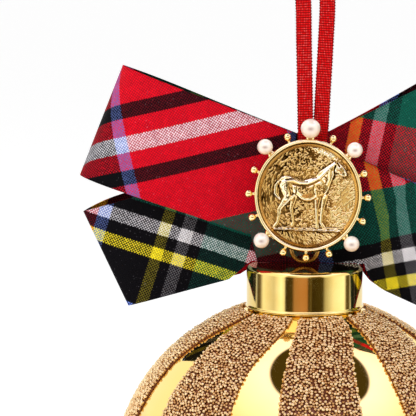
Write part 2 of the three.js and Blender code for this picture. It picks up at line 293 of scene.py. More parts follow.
class Shader:
    """A node material under construction."""

    def __init__(self, name: str) -> None:
        """Starts a material with one Principled shader.

        Args:
            name: The material's name.
        """
        self.material = bpy.data.materials.new(name)
        self.material.use_nodes = True
        self.tree = self.material.node_tree
        self.surface = self.tree.nodes["Principled BSDF"]

    def add(self, kind: str, inputs: dict | None = None, **settings: object) -> bpy.types.Node:
        """Adds a node.

        Args:
            kind: The node's type, without the words that all have in front.
            inputs: A socket to link or a plain value for each of its inputs, by name or index.
            settings: Its properties.

        Returns:
            The node.
        """
        node = self.tree.nodes.new("ShaderNode" + kind)
        for key, value in settings.items():
            setattr(node, key, value)
        for key, value in (inputs or {}).items():
            if isinstance(value, bpy.types.NodeSocket):
                self.tree.links.new(value, node.inputs[key])
            else:
                node.inputs[key].default_value = value
        return node

    def set(self, **values: object) -> None:
        """Sets plain values on the shader's own sockets, with _ for a space in the name."""
        for name, value in values.items():
            self.surface.inputs[name.replace("_", " ")].default_value = value

    def feed(self, **sources: bpy.types.NodeSocket) -> None:
        """Links patterns to the shader's own sockets, with _ for a space in the name."""
        for name, source in sources.items():
            self.tree.links.new(source, self.surface.inputs[name.replace("_", " ")])

    def math(self, operation: str, *terms: object) -> bpy.types.NodeSocket:
        """The result of a Math node on one or two sockets or numbers."""
        return self.add("Math", dict(enumerate(terms)), operation=operation).outputs[0]

    def place(self) -> bpy.types.NodeSocket:
        """The point's place in the object, in metres."""
        return self.add("TexCoord").outputs["Object"]

    def cloth(self) -> list:
        """The sockets of the place across and along the cloth, in millimetres, from the UV map Weave."""
        split = self.add("SeparateXYZ", {0: self.add("UVMap", uv_map="Weave").outputs[0]})
        return [self.math("MULTIPLY", place, 1 / MM) for place in split.outputs[:2]]

    def number(self, name: str) -> bpy.types.NodeSocket:
        """The value of a mesh attribute."""
        return self.add("Attribute", attribute_name=name).outputs["Fac"]

    def noise(self, per_mm: float, detail: float = 3.0, rough: float = 0.5) -> bpy.types.NodeSocket:
        """Noise over the object.

        Args:
            per_mm: The number of waves in a millimetre.
            detail: The number of octaves.
            rough: The weight of the finer octaves.

        Returns:
            The noise value's socket.
        """
        inputs = {"Vector": self.place(), "Scale": per_mm / MM, "Detail": detail, "Roughness": rough}
        return self.add("TexNoise", inputs).outputs["Fac"]

    def range(self, value: bpy.types.NodeSocket, low: float, high: float, start: float = 0.0,
              end: float = 1.0) -> bpy.types.NodeSocket:
        """Maps a value from one range to another, held inside it.

        Args:
            value: The value's socket.
            low: The start of its range.
            high: The end of its range.
            start: The result at low.
            end: The result at high.

        Returns:
            The result's socket.
        """
        return self.add("MapRange", {0: value, 1: low, 2: high, 3: start, 4: end}).outputs[0]

    def mix(self, factor: object, first: object, second: object) -> bpy.types.NodeSocket:
        """Mixes two colours.

        Args:
            factor: A socket or a number.
            first: A socket or a colour, at factor 0.
            second: A socket or a colour, at factor 1.

        Returns:
            The colour's socket.
        """
        return self.add("Mix", {0: factor, 6: first, 7: second}, data_type="RGBA").outputs[2]

    def ramp(self, value: bpy.types.NodeSocket, stops: list, constant: bool = False) -> bpy.types.Node:
        """Looks a value up in a row of colours.

        Args:
            value: The value's socket.
            stops: Position and colour pairs.
            constant: Whether a colour holds until the next stop.

        Returns:
            The node, with outputs Color and Alpha.
        """
        node = self.add("ValToRGB", {0: value})
        ramp = node.color_ramp
        ramp.interpolation = "CONSTANT" if constant else "LINEAR"
        while len(ramp.elements) < len(stops):
            ramp.elements.new(1.0)
        for element, (position, colour) in zip(ramp.elements, stops):
            element.position = position
            element.color = colour
        return node

    def bump(self, height: bpy.types.NodeSocket, depth_mm: float, strength: float = 1.0) -> None:
        """Raises the surface by a height pattern.

        Args:
            height: The pattern, 0 to 1.
            depth_mm: The real height of 1.
            strength: The share of the effect.
        """
        node = self.add("Bump", {"Strength": strength, "Distance": depth_mm * MM, "Height": height})
        self.feed(Normal=node.outputs[0])


@dataclass(frozen=True)
class Gold:
    """A gold finish: its colour, how polished it is and how its surface wanders."""

    name: str
    colour: tuple
    shade: tuple
    roughness: tuple[float, float]
    waves_per_mm: float
    wave_depth: float
    smears_per_wave: float = 6.0

    def material(self) -> bpy.types.Material:
        """Builds the material.

        Returns:
            The new material.
        """
        shader = Shader(self.name)
        shader.set(Metallic=1.0)
        cloud = shader.noise(self.waves_per_mm, 4.0)
        smear = shader.noise(self.waves_per_mm * self.smears_per_wave)
        shader.feed(Base_Color=shader.mix(shader.range(cloud, 0.35, 0.65), self.colour, self.shade),
                    Roughness=shader.range(smear, 0.3, 0.7, *self.roughness))
        shader.bump(cloud, self.wave_depth)
        return shader.material


MIRROR_GOLD = Gold("mirror_gold_glass", linear(244, 210, 124), linear(247, 217, 138), (0.02, 0.06), 0.03, 0.02)
CAP_GOLD = Gold("polished_cap_gold", linear(244, 218, 142), linear(240, 208, 126), (0.05, 0.11), 0.15, 0.004)
RING_STEEL = Gold("ring_wire", linear(186, 148, 88), linear(138, 104, 56), (0.14, 0.3), 0.8, 0.01)


@dataclass(frozen=True)
class BeadFinish:
    """Champagne-gold seed beads, each a little different, on glue whose dark brown is partly painted shade
    between the beads.
    """

    light: tuple = linear(250, 224, 174)
    deep: tuple = linear(208, 156, 94)
    # The glue's colour, darkened as painted shade between the beads.
    glue: tuple = linear(104, 54, 8)
    dry_glue: tuple = linear(120, 58, 14)
    bead_dent: float = 0.005
    glue_grain: float = 0.08

    def beads(self) -> bpy.types.Material:
        """Builds the beads' material.

        Returns:
            The new material, which reads the attribute tint.
        """
        shader = Shader("champagne_beads")
        shader.set(Metallic=1.0)
        tint = shader.number("tint")
        shader.feed(Base_Color=shader.mix(tint, self.deep, self.light),
                    Roughness=shader.range(tint, 0.0, 1.0, 0.34, 0.2))
        shader.bump(shader.noise(2.5, 2.0), self.bead_dent)
        return shader.material

    def bed(self) -> bpy.types.Material:
        """Builds the material of the glue between the beads.

        Returns:
            The new material.
        """
        shader = Shader("bead_glue")
        shader.set(Metallic=0.25)
        cloud = shader.noise(0.7, 4.0)
        shader.feed(Base_Color=shader.mix(cloud, self.glue, self.dry_glue),
                    Roughness=shader.range(cloud, 0.3, 0.7, 0.3, 0.55))
        shader.bump(shader.noise(1.6), self.glue_grain)
        return shader.material


@dataclass(frozen=True)
class OldGoldFinish:
    """Cast gold: polished where its patina attribute is low, dark where it is high. On the coin and the rim that
    attribute also holds painted light and shade.
    """

    layers: tuple = (
        (0.0, linear(255, 247, 216)), (0.16, linear(252, 230, 168)), (0.36, linear(240, 200, 124)),
        (0.58, linear(154, 110, 52)), (0.8, linear(76, 52, 18)), (1.0, linear(34, 24, 8)),
    )
    warm: tuple = linear(236, 180, 92)
    warmest: float = 0.3
    grain: float = 0.012

    def material(self) -> bpy.types.Material:
        """Builds the material.

        Returns:
            The new material.
        """
        shader = Shader("old_gold")
        shader.set(Metallic=1.0)
        # Real patina, and on the coin and the rim painted light and shade as well.
        patina_and_painted_light = shader.number("patina_and_painted_light")
        gold = shader.ramp(patina_and_painted_light, list(self.layers)).outputs["Color"]
        cloud = shader.range(shader.noise(0.16), 0.42, 0.6, 0.0, self.warmest)
        worn = shader.math("MULTIPLY", cloud, shader.range(patina_and_painted_light, 0.15, 0.4))
        shader.feed(Base_Color=shader.mix(worn, gold, self.warm),
                    Roughness=shader.range(patina_and_painted_light, 0.12, 0.9, 0.07, 0.42))
        shader.bump(shader.noise(5.0), self.grain)
        return shader.material


@dataclass(frozen=True)
class PearlFinish:
    """Pearl lustre: a creamy body under a soft coat.

    One attribute warms it towards its lower edge with a painted reflection of the gold cups, and the attribute
    eye greys the spot that faces the front with a painted reflection.
    """

    body: tuple = linear(250, 240, 228)
    blush: tuple = linear(247, 230, 216)
    # A painted reflection of the gold cups below.
    painted_cup_reflection: tuple = linear(240, 200, 158)
    # A painted reflection: the grey spot that faces the front.
    eye: tuple = linear(172, 142, 132)
    glow_reach: tuple = (0.002, 0.0014, 0.001)

    def material(self) -> bpy.types.Material:
        """Builds the material.

        Returns:
            The new material.
        """
        shader = Shader("pearl_lustre")
        nacre = shader.mix(shader.range(shader.noise(0.35, 2.0), 0.35, 0.65), self.body, self.blush)
        # Painted reflections: the cups' warm glow towards the lower edge, then the grey spot in front.
        nacre = shader.mix(shader.number("painted_cup_reflection"), nacre, self.painted_cup_reflection)
        shader.feed(Base_Color=shader.mix(shader.number("eye"), nacre, self.eye),
                    Roughness=shader.range(shader.noise(3.0, 2.0), 0.3, 0.7, 0.17, 0.24))
        shader.set(Metallic=0.1, Specular_IOR_Level=0.6, Coat_Weight=0.4, Coat_Roughness=0.15,
                   Subsurface_Weight=0.1, Subsurface_Radius=self.glow_reach)
        return shader.material


class Thread(Enum):
    """The tartan's threads: display colour, and how far the thread covers the one that it crosses."""

    RED = (shown(218, 10, 32), 1.0)
    BLACK = (shown(11, 10, 14), 2.2)
    WHITE = (shown(228, 224, 228), 1.0)
    YELLOW = (shown(250, 226, 40), 1.15)
    GREEN = (shown(12, 84, 68), 2.0)
    BLUE = (shown(120, 150, 250), 2.0)


@dataclass(frozen=True)
class TartanFinish:
    """Tartan in a close weave.

    Half of each repeat runs from the middle of a white stripe to the middle of a red one. The rows run along
    the ribbon and the crossing stripes across it.
    """

    rows: tuple = (
        (Thread.WHITE, 1.8), (Thread.RED, 4.5), (Thread.BLACK, 3.8), (Thread.RED, 14.3), (Thread.GREEN, 13.8),
        (Thread.BLACK, 3.2), (Thread.WHITE, 3.6), (Thread.BLACK, 3.5), (Thread.YELLOW, 3.2),
        (Thread.BLACK, 13.2),
        (Thread.BLUE, 3.5), (Thread.RED, 20.6),
    )
    crossings: tuple = (
        (Thread.WHITE, 1.6), (Thread.RED, 4.0), (Thread.BLACK, 3.4), (Thread.RED, 13.6), (Thread.GREEN, 13.1),
        (Thread.BLACK, 2.8), (Thread.WHITE, 3.45), (Thread.BLACK, 2.55), (Thread.YELLOW, 3.05),
        (Thread.BLACK, 13.3), (Thread.BLUE, 3.5), (Thread.RED, 20.6),
    )
    cell: float = 0.4
    tooth: float = 0.13
    tooth_pitch: float = 0.62
    heaviest: float = 4.0
    row_over: float = 0.94
    row_under: float = 0.32
    stray: float = 0.12
    lint: float = 0.25
    # The colour of the real lint flecks and of the painted glints.
    lint_and_glint_colour: tuple = shown(222, 214, 216)
    # A painted highlight on the crossing threads where they lie on top.
    glint: float = 0.07
    # Painted shade on the threads that lie under, and painted light on those on top.
    shade_under: float = 0.76
    shade_over: float = 1.06
    relief: float = 0.1

    def stripes(self, shader: Shader, along: bpy.types.NodeSocket, sett: tuple) -> tuple:
        """The thread at a place along a sett.

        Args:
            shader: The material's builder.
            along: The place, in millimetres from the middle of the white stripe.
            sett: The threads and their widths over half a repeat.

        Returns:
            The sockets of the thread's colour and of its cover.
        """
        half = sum(width for _, width in sett)
        stops, start = [], 0.0
        for thread, width in sett:
            colour, cover = thread.value
            stops.append((start / half, colour[:3] + (cover / self.heaviest,)))
            start += width
        folded = shader.math("PINGPONG", along, half)
        return tuple(shader.ramp(shader.math("DIVIDE", folded, half), stops, constant=True).outputs)

    def toothed(self, shader: Shader, place: bpy.types.NodeSocket,
                other: bpy.types.NodeSocket) -> bpy.types.NodeSocket:
        """A place that steps to and fro along the other direction, which gives the stripes toothed edges.

        Args:
            shader: The material's builder.
            place: The place in one direction.
            other: The place in the other direction.

        Returns:
            The shifted place's socket.
        """
        wave = shader.math("PINGPONG", other, self.tooth_pitch / 2)
        tooth = shader.math("MULTIPLY", shader.math("SUBTRACT", wave, self.tooth_pitch / 4),
                            4 * self.tooth / self.tooth_pitch)
        return shader.math("ADD", place, tooth)

    def material(self) -> bpy.types.Material:
        """Builds the material, which reads the UV map Weave: across and along, in metres of cloth.

        Returns:
            The new material.
        """
        shader = Shader("tartan_twill")
        cross, row = shader.cloth()
        waves = [shader.math("DIVIDE", shader.math("PINGPONG", place, self.cell), self.cell)
                 for place in (row, cross)]
        cross_colour, cross_cover = self.stripes(shader, self.toothed(shader, cross, row), self.crossings)
        row_colour, row_cover = self.stripes(shader, self.toothed(shader, row, cross), self.rows)
        both = shader.math("MULTIPLY", shader.math("MULTIPLY", *waves), 2.0)
        weave = shader.math("SUBTRACT", shader.math("ADD", *waves), both)
        stray = shader.range(shader.noise(1.9, 2.0, 0.6), 0.3, 0.7, -self.stray, self.stray)
        over = shader.range(shader.math("ADD", weave, stray), 0.36, 0.64, self.row_under, self.row_over)
        top = (over, self.row_under, self.row_over)
        row_part = shader.math("MULTIPLY", row_cover, over)
        cross_part = shader.math("MULTIPLY", cross_cover, shader.math("SUBTRACT", 1.0, over))
        share = shader.math("DIVIDE", row_part, shader.math("ADD", row_part, cross_part))
        seen = shader.mix(share, cross_colour, row_colour)
        lint = shader.range(shader.noise(2.1, 0.0), 0.77, 0.81, 0.0, self.lint)
        # Painted highlights on the crossing threads where they lie on top, mixed in with the real lint.
        glint = shader.range(*top, self.glint, 0.0)
        seen = shader.mix(shader.math("MAXIMUM", lint, glint), seen, self.lint_and_glint_colour)
        # Uneven wear at random, times painted shade on the threads that lie under and painted light on those on
        # top.
        wear_and_weave_shade = shader.math("MULTIPLY", shader.range(shader.noise(0.55, 5.0, 0.65), 0.3, 0.7, 0.93, 1.05),
                           shader.range(*top, self.shade_under, self.shade_over))
        shade = shader.add("VectorMath", {0: seen, "Scale": wear_and_weave_shade}, operation="SCALE")
        light = shader.add("Gamma", {"Color": shade.outputs[0], "Gamma": GAMMA})
        shader.feed(Base_Color=light.outputs[0], Roughness=shader.range(*top, 0.8, 0.62))
        shader.set(Sheen_Weight=0.01, Sheen_Roughness=0.4, Specular_IOR_Level=0.06)
        shader.bump(over, self.relief, 0.5)
        return shader.material


@dataclass(frozen=True)
class RibbonFinish:
    """Red woven ribbon with ribs across it, painted shade in the gaps between ribs and threads, and pale painted
    highlights on the ribs.
    """

    red: tuple = linear(236, 4, 12)
    # Painted shade in the gaps between the ribs and threads.
    deep: tuple = linear(92, 0, 2)
    # A painted highlight on the ribs.
    glint: tuple = linear(255, 128, 122)
    glint_share: float = 0.75
    rib: float = 0.31
    thread: float = 0.21
    relief: float = 0.12

    def material(self) -> bpy.types.Material:
        """Builds the material, which reads the UV map Weave: across and along, in metres.

        Returns:
            The new material.
        """
        shader = Shader("red_woven_ribbon")
        across, along = shader.cloth()
        rib = shader.math("DIVIDE", shader.math("PINGPONG", along, self.rib), self.rib)
        thread = shader.math("DIVIDE", shader.math("PINGPONG", across, self.thread), self.thread)
        spot = shader.math("MULTIPLY", rib, thread)
        # Painted shade in the gaps between ribs and threads, and painted highlights strewn over the ribs.
        base = shader.mix(shader.range(spot, 0.02, 0.42), self.deep, self.red)
        grain = shader.range(shader.noise(1.1, 3.0, 0.7), 0.5, 0.6)
        glints = shader.math("MULTIPLY", shader.range(spot, 0.35, 0.75), grain)
        shader.feed(Base_Color=shader.mix(shader.math("MULTIPLY", glints, self.glint_share), base, self.glint),
                    Roughness=shader.range(spot, 0.0, 1.0, 0.7, 0.45))
        shader.set(Sheen_Weight=0.0, Specular_IOR_Level=0.08)
        shader.bump(spot, self.relief, 0.7)
        return shader.material


# Camera and studio


@dataclass(frozen=True)
class Lamp:
    """A soft rectangular light: its name, its place, its width and height, and its power in watts."""

    name: str
    place: tuple
    size: tuple[float, float]
    watts: float


@dataclass
class Studio:
    """The camera at the photograph's angle, a pale floor, soft light, and a tent for the gold to reflect.

    The tent is a round shell of light and dark cloth that only glossy surfaces see. Its tones are set by the
    direction: azimuth from the front, positive to the right, and height, from -1 straight down to 1
    straight up.
    """

    eye: tuple = (0.0, -494.66, -17.13)
    yaw: float = -2.92
    pitch: float = -6.69
    lens: float = 165.6
    sensor: float = 36.0
    sight: float = 100.0
    aim: tuple = (0.0, 0.0, -90.0)
    floor_height: float = -330.0
    floor_reach: float = 70000.0
    floor_colour: tuple = linear(252, 252, 252)
    floor_glow: float = 0.39
    sky: float = 0.62
    lamps: tuple = (
        Lamp("left_light", (-1300, -900, 500), (900, 1200), 8),
        Lamp("right_light", (1300, -900, 450), (800, 1200), 3),
        Lamp("top_light", (0, -350, 1200), (1200, 1000), 6),
    )
    tent_radius: float = 1400.0
    brightest: float = 3.1
    tones: tuple = (
        (-180, (1.0, 1.0, 1.0)), (-112, (1.0, 1.0, 1.0)), (-104, (0.1, 0.08, 0.05)), (-97, (0.16, 0.12, 0.06)),
        (-88, (1.25, 1.22, 1.1)), (-62, (0.85, 0.8, 0.7)), (-46, (1.5, 1.48, 1.4)), (-39.5, (1.2, 1.15, 1.0)),
        (-37, (0.05, 0.035, 0.01)), (-24, (0.075, 0.05, 0.012)), (-19, (0.5, 0.26, 0.12)),
        (-4, (0.6, 0.29, 0.13)),
        (5, (0.55, 0.26, 0.11)), (8, (0.06, 0.04, 0.01)), (13, (0.16, 0.12, 0.05)), (15, (0.045, 0.03, 0.005)),
        (36, (0.07, 0.05, 0.01)), (41, (0.55, 0.5, 0.36)), (60, (1.2, 1.17, 1.0)), (84, (1.5, 1.48, 1.4)),
        (90, (0.12, 0.09, 0.03)), (97, (0.1, 0.08, 0.03)), (104, (1.0, 1.0, 1.0)), (180, (1.0, 1.0, 1.0)),
    )
    high_tones: tuple = (
        (-180, (1.2, 1.17, 1.05)), (-60, (1.3, 1.27, 1.15)), (-42, (1.7, 1.66, 1.5)), (-34, (0.4, 0.33, 0.18)),
        (-24, (0.6, 0.5, 0.3)), (-12, (0.95, 0.91, 0.8)), (5, (0.9, 0.85, 0.72)), (15, (0.4, 0.31, 0.16)),
        (31, (0.22, 0.16, 0.07)), (42, (1.2, 1.15, 1.0)), (180, (1.2, 1.17, 1.05)),
    )
    white: tuple = (1.0, 1.0, 1.0)
    roof: tuple = (1.5, 1.36, 1.3)
    low_ends: tuple = (-0.45, -0.3)
    high_starts: tuple = (0.05, 0.15)
    roof_starts: tuple = (0.5, 0.72)
    hole_towards: tuple = (0.14, -0.12, 0.98)
    glare: tuple = (1.9, 1.8, 2.7)
    glare_angles: tuple = (50.0, 28.0)
    hole: tuple = (0.07, 0.05, 0.012)
    hole_angle: float = 25.0
    hole_blur: tuple = (-0.006, 0.004)

    def camera(self) -> None:
        """Makes the camera."""
        data = bpy.data.cameras.new("camera")
        data.lens, data.sensor_width, data.clip_end = self.lens, self.sensor, self.sight
        camera = add_object("camera", data)
        yaw, pitch = math.radians(self.yaw), math.radians(self.pitch)
        forward = Vector((math.sin(yaw) * math.cos(pitch), math.cos(yaw) * math.cos(pitch), math.sin(pitch)))
        camera.location = Vector(self.eye) * MM
        camera.rotation_euler = forward.to_track_quat("-Z", "Y").to_euler()
        bpy.context.scene.camera = camera

    def light(self, lamp: Lamp) -> None:
        """Makes a soft rectangular light aimed at the ornament.

        Args:
            lamp: The light's place, size and power.
        """
        data = bpy.data.lights.new(lamp.name, "AREA")
        data.shape = "RECTANGLE"
        data.size, data.size_y = (side * MM for side in lamp.size)
        data.energy = lamp.watts
        light = add_object(lamp.name, data)
        light.location = Vector(lamp.place) * MM
        light.rotation_euler = (Vector(self.aim) * MM - light.location).to_track_quat("-Z", "Y").to_euler()
        light.visible_camera = light.visible_glossy = False

    def toned(self, tone: tuple) -> tuple:
        """A tone of the tent as a colour, a share of the brightest."""
        return tuple(share / self.brightest for share in tone) + (1.0,)

    def around(self, shader: Shader, azimuth: bpy.types.NodeSocket, tones: tuple) -> bpy.types.NodeSocket:
        """The tone in a direction around the tent.

        Args:
            shader: The material's builder.
            azimuth: The direction, as a share of the turn from behind, by the left, to behind.
            tones: Angle and tone pairs.

        Returns:
            The tone's socket.
        """
        stops = [((angle + TURN / 2) / TURN, self.toned(tone)) for angle, tone in tones]
        return shader.ramp(azimuth, stops).outputs["Color"]

    def tent_cloth(self) -> bpy.types.Material:
        """The tent's material, a plain glow whose tone depends on the place on the tent.

        Returns:
            The new material.
        """
        shader = Shader("tent_cloth")
        centre = tuple(c * MM for c in self.aim)
        outwards = shader.add("VectorMath", {0: shader.place(), 1: centre}, operation="SUBTRACT").outputs[0]
        towards = shader.add("VectorMath", {0: outwards}, operation="NORMALIZE").outputs[0]
        x, y, z = shader.add("SeparateXYZ", {0: towards}).outputs
        azimuth = shader.math("ARCTAN2", x, shader.math("MULTIPLY", y, -1.0))
        azimuth = shader.range(azimuth, -math.pi, math.pi)
        low, high = (self.around(shader, azimuth, tones) for tones in (self.tones, self.high_tones))
        tone = shader.mix(shader.range(z, *self.high_starts), low, high)
        tone = shader.mix(shader.range(z, *self.low_ends, 1.0, 0.0), tone, self.toned(self.white))
        tone = shader.mix(shader.range(z, *self.roof_starts), tone, self.toned(self.roof))
        axis = {0: towards, 1: Vector(self.hole_towards).normalized()}
        near = shader.add("VectorMath", axis, operation="DOT_PRODUCT").outputs["Value"]
        glare_edge = (math.cos(math.radians(angle)) for angle in self.glare_angles)
        hole_edge = (math.cos(math.radians(self.hole_angle)) + blur for blur in self.hole_blur)
        tone = shader.mix(shader.range(near, *glare_edge), tone, self.toned(self.glare))
        tone = shader.mix(shader.range(near, *hole_edge), tone, self.toned(self.hole))
        glow = shader.add("Emission", {"Strength": self.brightest, "Color": tone})
        shader.tree.links.new(glow.outputs[0], shader.tree.nodes["Material Output"].inputs["Surface"])
        return shader.material

    def build(self) -> None:
        """Makes the floor, the tent, the lights and the sky."""
        reach, floor = self.floor_reach, self.floor_height
        corners = [(-reach, -reach, floor), (reach, -reach, floor),
                   (reach, reach, floor), (-reach, reach, floor)]
        ground = make_object("floor", np.array(corners, float), [(0, 1, 2, 3)], smooth=False)
        pale = Shader("pale_floor")
        pale.set(Base_Color=self.floor_colour, Emission_Color=self.floor_colour,
                 Emission_Strength=self.floor_glow, Roughness=0.9, Specular_IOR_Level=0.1)
        ground.data.materials.append(pale.material)
        points, faces = sphere(self.tent_radius, 32)
        tent = make_object("tent", points + np.array(self.aim), flipped(faces))
        tent.data.materials.append(self.tent_cloth())
        tent.visible_camera = tent.visible_diffuse = tent.visible_shadow = tent.visible_transmission = False
        for lamp in self.lamps:
            self.light(lamp)
        world = bpy.data.worlds.new("white_room")
        world.use_nodes = True
        sky = world.node_tree.nodes["Background"]
        sky.inputs["Color"].default_value = (1, 1, 1, 1)
        sky.inputs["Strength"].default_value = self.sky
        bpy.context.scene.world = world
        bpy.context.scene.view_settings.view_transform = "Standard"


# Geometry nodes that place copies


class Copies:
    """A Geometry Nodes tree that puts copies of a small form on points or over a surface."""

    def __init__(self, name: str, **inputs: str) -> None:
        """Starts a tree with a geometry input and output and further named inputs.

        Args:
            name: The tree's name.
            inputs: The socket type of each further input, by name with _ for a space.
        """
        self.tree = bpy.data.node_groups.new(name, "GeometryNodeTree")
        sockets = [("Geometry", "INPUT", "Geometry"), ("Geometry", "OUTPUT", "Geometry")]
        sockets += [(label.replace("_", " "), "INPUT", kind) for label, kind in inputs.items()]
        for label, side, kind in sockets:
            self.tree.interface.new_socket(label, in_out=side, socket_type="NodeSocket" + kind)
        self.given = self.tree.nodes.new("NodeGroupInput").outputs
        self.result = self.tree.nodes.new("NodeGroupOutput").inputs

    def add(self, kind: str, inputs: dict, **settings: object) -> bpy.types.Node:
        """Adds a node.

        Args:
            kind: The node's type.
            inputs: A socket to link or a plain value for each of its inputs, by name or index.
            settings: Its properties.

        Returns:
            The node.
        """
        node = self.tree.nodes.new(kind)
        for key, value in settings.items():
            setattr(node, key, value)
        for key, value in inputs.items():
            if isinstance(value, bpy.types.NodeSocket):
                self.tree.links.new(value, node.inputs[key])
            else:
                node.inputs[key].default_value = value
        return node

    def random(self, kind: str, low: object, high: object) -> bpy.types.NodeSocket:
        """Adds a Random Value node that reads the tree's input Seed.

        Args:
            kind: FLOAT or FLOAT_VECTOR.
            low: The lowest value.
            high: The highest value.

        Returns:
            The value's socket.
        """
        node = self.add("FunctionNodeRandomValue", {"Seed": self.given["Seed"]}, data_type=kind)
        ends = [socket for socket in node.inputs if socket.enabled and socket.name in ("Min", "Max")]
        ends[0].default_value, ends[1].default_value = low, high
        return next(socket for socket in node.outputs if socket.enabled)

    def turned_by(self, angles: bpy.types.NodeSocket) -> bpy.types.NodeSocket:
        """Three angles in radians as a rotation."""
        return self.add("FunctionNodeEulerToRotation", {0: angles}).outputs[0]

    def end(self, copies: bpy.types.NodeSocket) -> None:
        """Ends the tree with Realize Instances and Set Material.

        Args:
            copies: The instances' socket.
        """
        real = self.add("GeometryNodeRealizeInstances", {0: copies})
        smooth = self.add("GeometryNodeSetShadeSmooth", {0: real.outputs[0]})
        paint = self.add("GeometryNodeSetMaterial", {"Geometry": smooth.outputs[0],
                                                     "Material": self.given["Material"]})
        self.tree.links.new(paint.outputs[0], self.result[0])

    def grown(self, piece: bpy.types.Object, **values: object) -> bpy.types.Mesh:
        """Runs the tree on an object, removes the object and gives the result as a plain mesh.

        Args:
            piece: The object that holds the points or the surface.
            values: The tree's inputs by name, with _ for a space.

        Returns:
            The new mesh.
        """
        modifier = piece.modifiers.new("copies", "NODES")
        modifier.node_group = self.tree
        for item in self.tree.interface.items_tree:
            key = item.name.replace(" ", "_")
            if item.item_type == "SOCKET" and item.in_out == "INPUT" and key in values:
                modifier[item.identifier] = values[key]
        piece.update_tag()
        evaluated = piece.evaluated_get(bpy.context.evaluated_depsgraph_get())
        mesh = bpy.data.meshes.new_from_object(evaluated)
        piece.modifiers.remove(modifier)
        bpy.data.objects.remove(piece)
        return mesh


def strewn_beads(sizes: tuple[float, float], sink: float, rise: float) -> Copies:
    """The tree that strews round beads over a surface, no two closer than a spacing.

    Args:
        sizes: The smallest and the largest bead, as shares of the bead radius.
        sink: How far the lowest bead lies under the surface, in millimetres.
        rise: How far the highest bead lies over it.

    Returns:
        The tree, with inputs Spacing, Density, Bead Radius, Seed and Material.
    """
    tree = Copies("strewn_beads", Spacing="Float", Density="Float", Bead_Radius="Float", Seed="Int",
                  Material="Material")
    given = tree.given
    strew = tree.add("GeometryNodeDistributePointsOnFaces", {
        "Mesh": given["Geometry"], "Distance Min": given["Spacing"], "Density Max": given["Density"],
        "Seed": given["Seed"]}, distribute_method="POISSON")
    bead = tree.add("GeometryNodeMeshIcoSphere", {"Subdivisions": 1, "Radius": given["Bead Radius"]})
    shift = tree.add("ShaderNodeVectorMath", {
        0: strew.outputs["Normal"], "Scale": tree.random("FLOAT", -sink * MM, rise * MM)}, operation="SCALE")
    lift = tree.add("GeometryNodeSetPosition", {
        "Geometry": strew.outputs["Points"], "Offset": shift.outputs[0]})
    turn = tree.turned_by(tree.random("FLOAT_VECTOR", (0, 0, 0), (6.28, 6.28, 6.28)))
    copies = tree.add("GeometryNodeInstanceOnPoints", {
        "Points": lift.outputs[0], "Instance": bead.outputs["Mesh"], "Rotation": turn,
        "Scale": tree.random("FLOAT", *sizes)})
    tint = tree.add("GeometryNodeStoreNamedAttribute", {
        "Geometry": copies.outputs[0], "Name": "tint",
        "Value": tree.random("FLOAT", 0.0, 1.0)}, domain="INSTANCE")
    tree.end(tint.outputs[0])
    return tree


def placed_copies() -> Copies:
    """The tree that puts a form on each point, turned by the attribute turn.

    Returns:
        The tree, with inputs Form and Material.
    """
    tree = Copies("placed_copies", Form="Object", Material="Material")
    form = tree.add("GeometryNodeObjectInfo", {"Object": tree.given["Form"], "As Instance": True})
    turn = tree.add("GeometryNodeInputNamedAttribute", {"Name": "turn"}, data_type="FLOAT_VECTOR")
    copies = tree.add("GeometryNodeInstanceOnPoints", {
        "Points": tree.given["Geometry"], "Instance": form.outputs["Geometry"],
        "Rotation": tree.turned_by(turn.outputs[0])})
    tree.end(copies.outputs[0])
    return tree


def copies_on(name: str, form: bpy.types.Object, places: list, turns: list,
              material: bpy.types.Material) -> bpy.types.Mesh:
    """A mesh of copies of a form.

    Args:
        name: A name for the mesh.
        form: The form, which is removed afterwards.
        places: A point for each copy.
        turns: The rotation of each copy.
        material: The copies' material.

    Returns:
        The mesh.
    """
    holder = make_object(name, np.array(places), [])
    angles = np.array([tuple(turn.to_euler()) for turn in turns], np.float32)
    attribute = holder.data.attributes.new("turn", "FLOAT_VECTOR", "POINT")
    attribute.data.foreach_set("vector", angles.ravel())
    mesh = placed_copies().grown(holder, Form=form, Material=material)
    bpy.data.objects.remove(form)
    return mesh


# The ball, its beads, the cap and the ring


@dataclass
class Ball:
    """The mirror-gold glass ball with its neck inside the cap."""

    segments: int = 160
    rows: int = 90
    neck_edge: float = 0.3

    def build(self) -> None:
        """Makes the ball."""
        shoulder = math.degrees(math.asin(NECK_RADIUS / BALL_RADIUS))
        profile = arc(0, BALL_CENTRE, BALL_RADIUS, -90, 90 - shoulder, self.rows)
        profile[0] = (0.0, BALL_CENTRE - BALL_RADIUS)
        profile += [(NECK_RADIUS, NECK_TOP - self.neck_edge), (NECK_RADIUS - self.neck_edge, NECK_TOP),
                    (0.0, NECK_TOP)]
        piece = make_object("glass_ball", *turned(profile, self.segments))
        finish_piece(piece, MIRROR_GOLD.material(), Slot.GOLD_MIRROR, "ball")


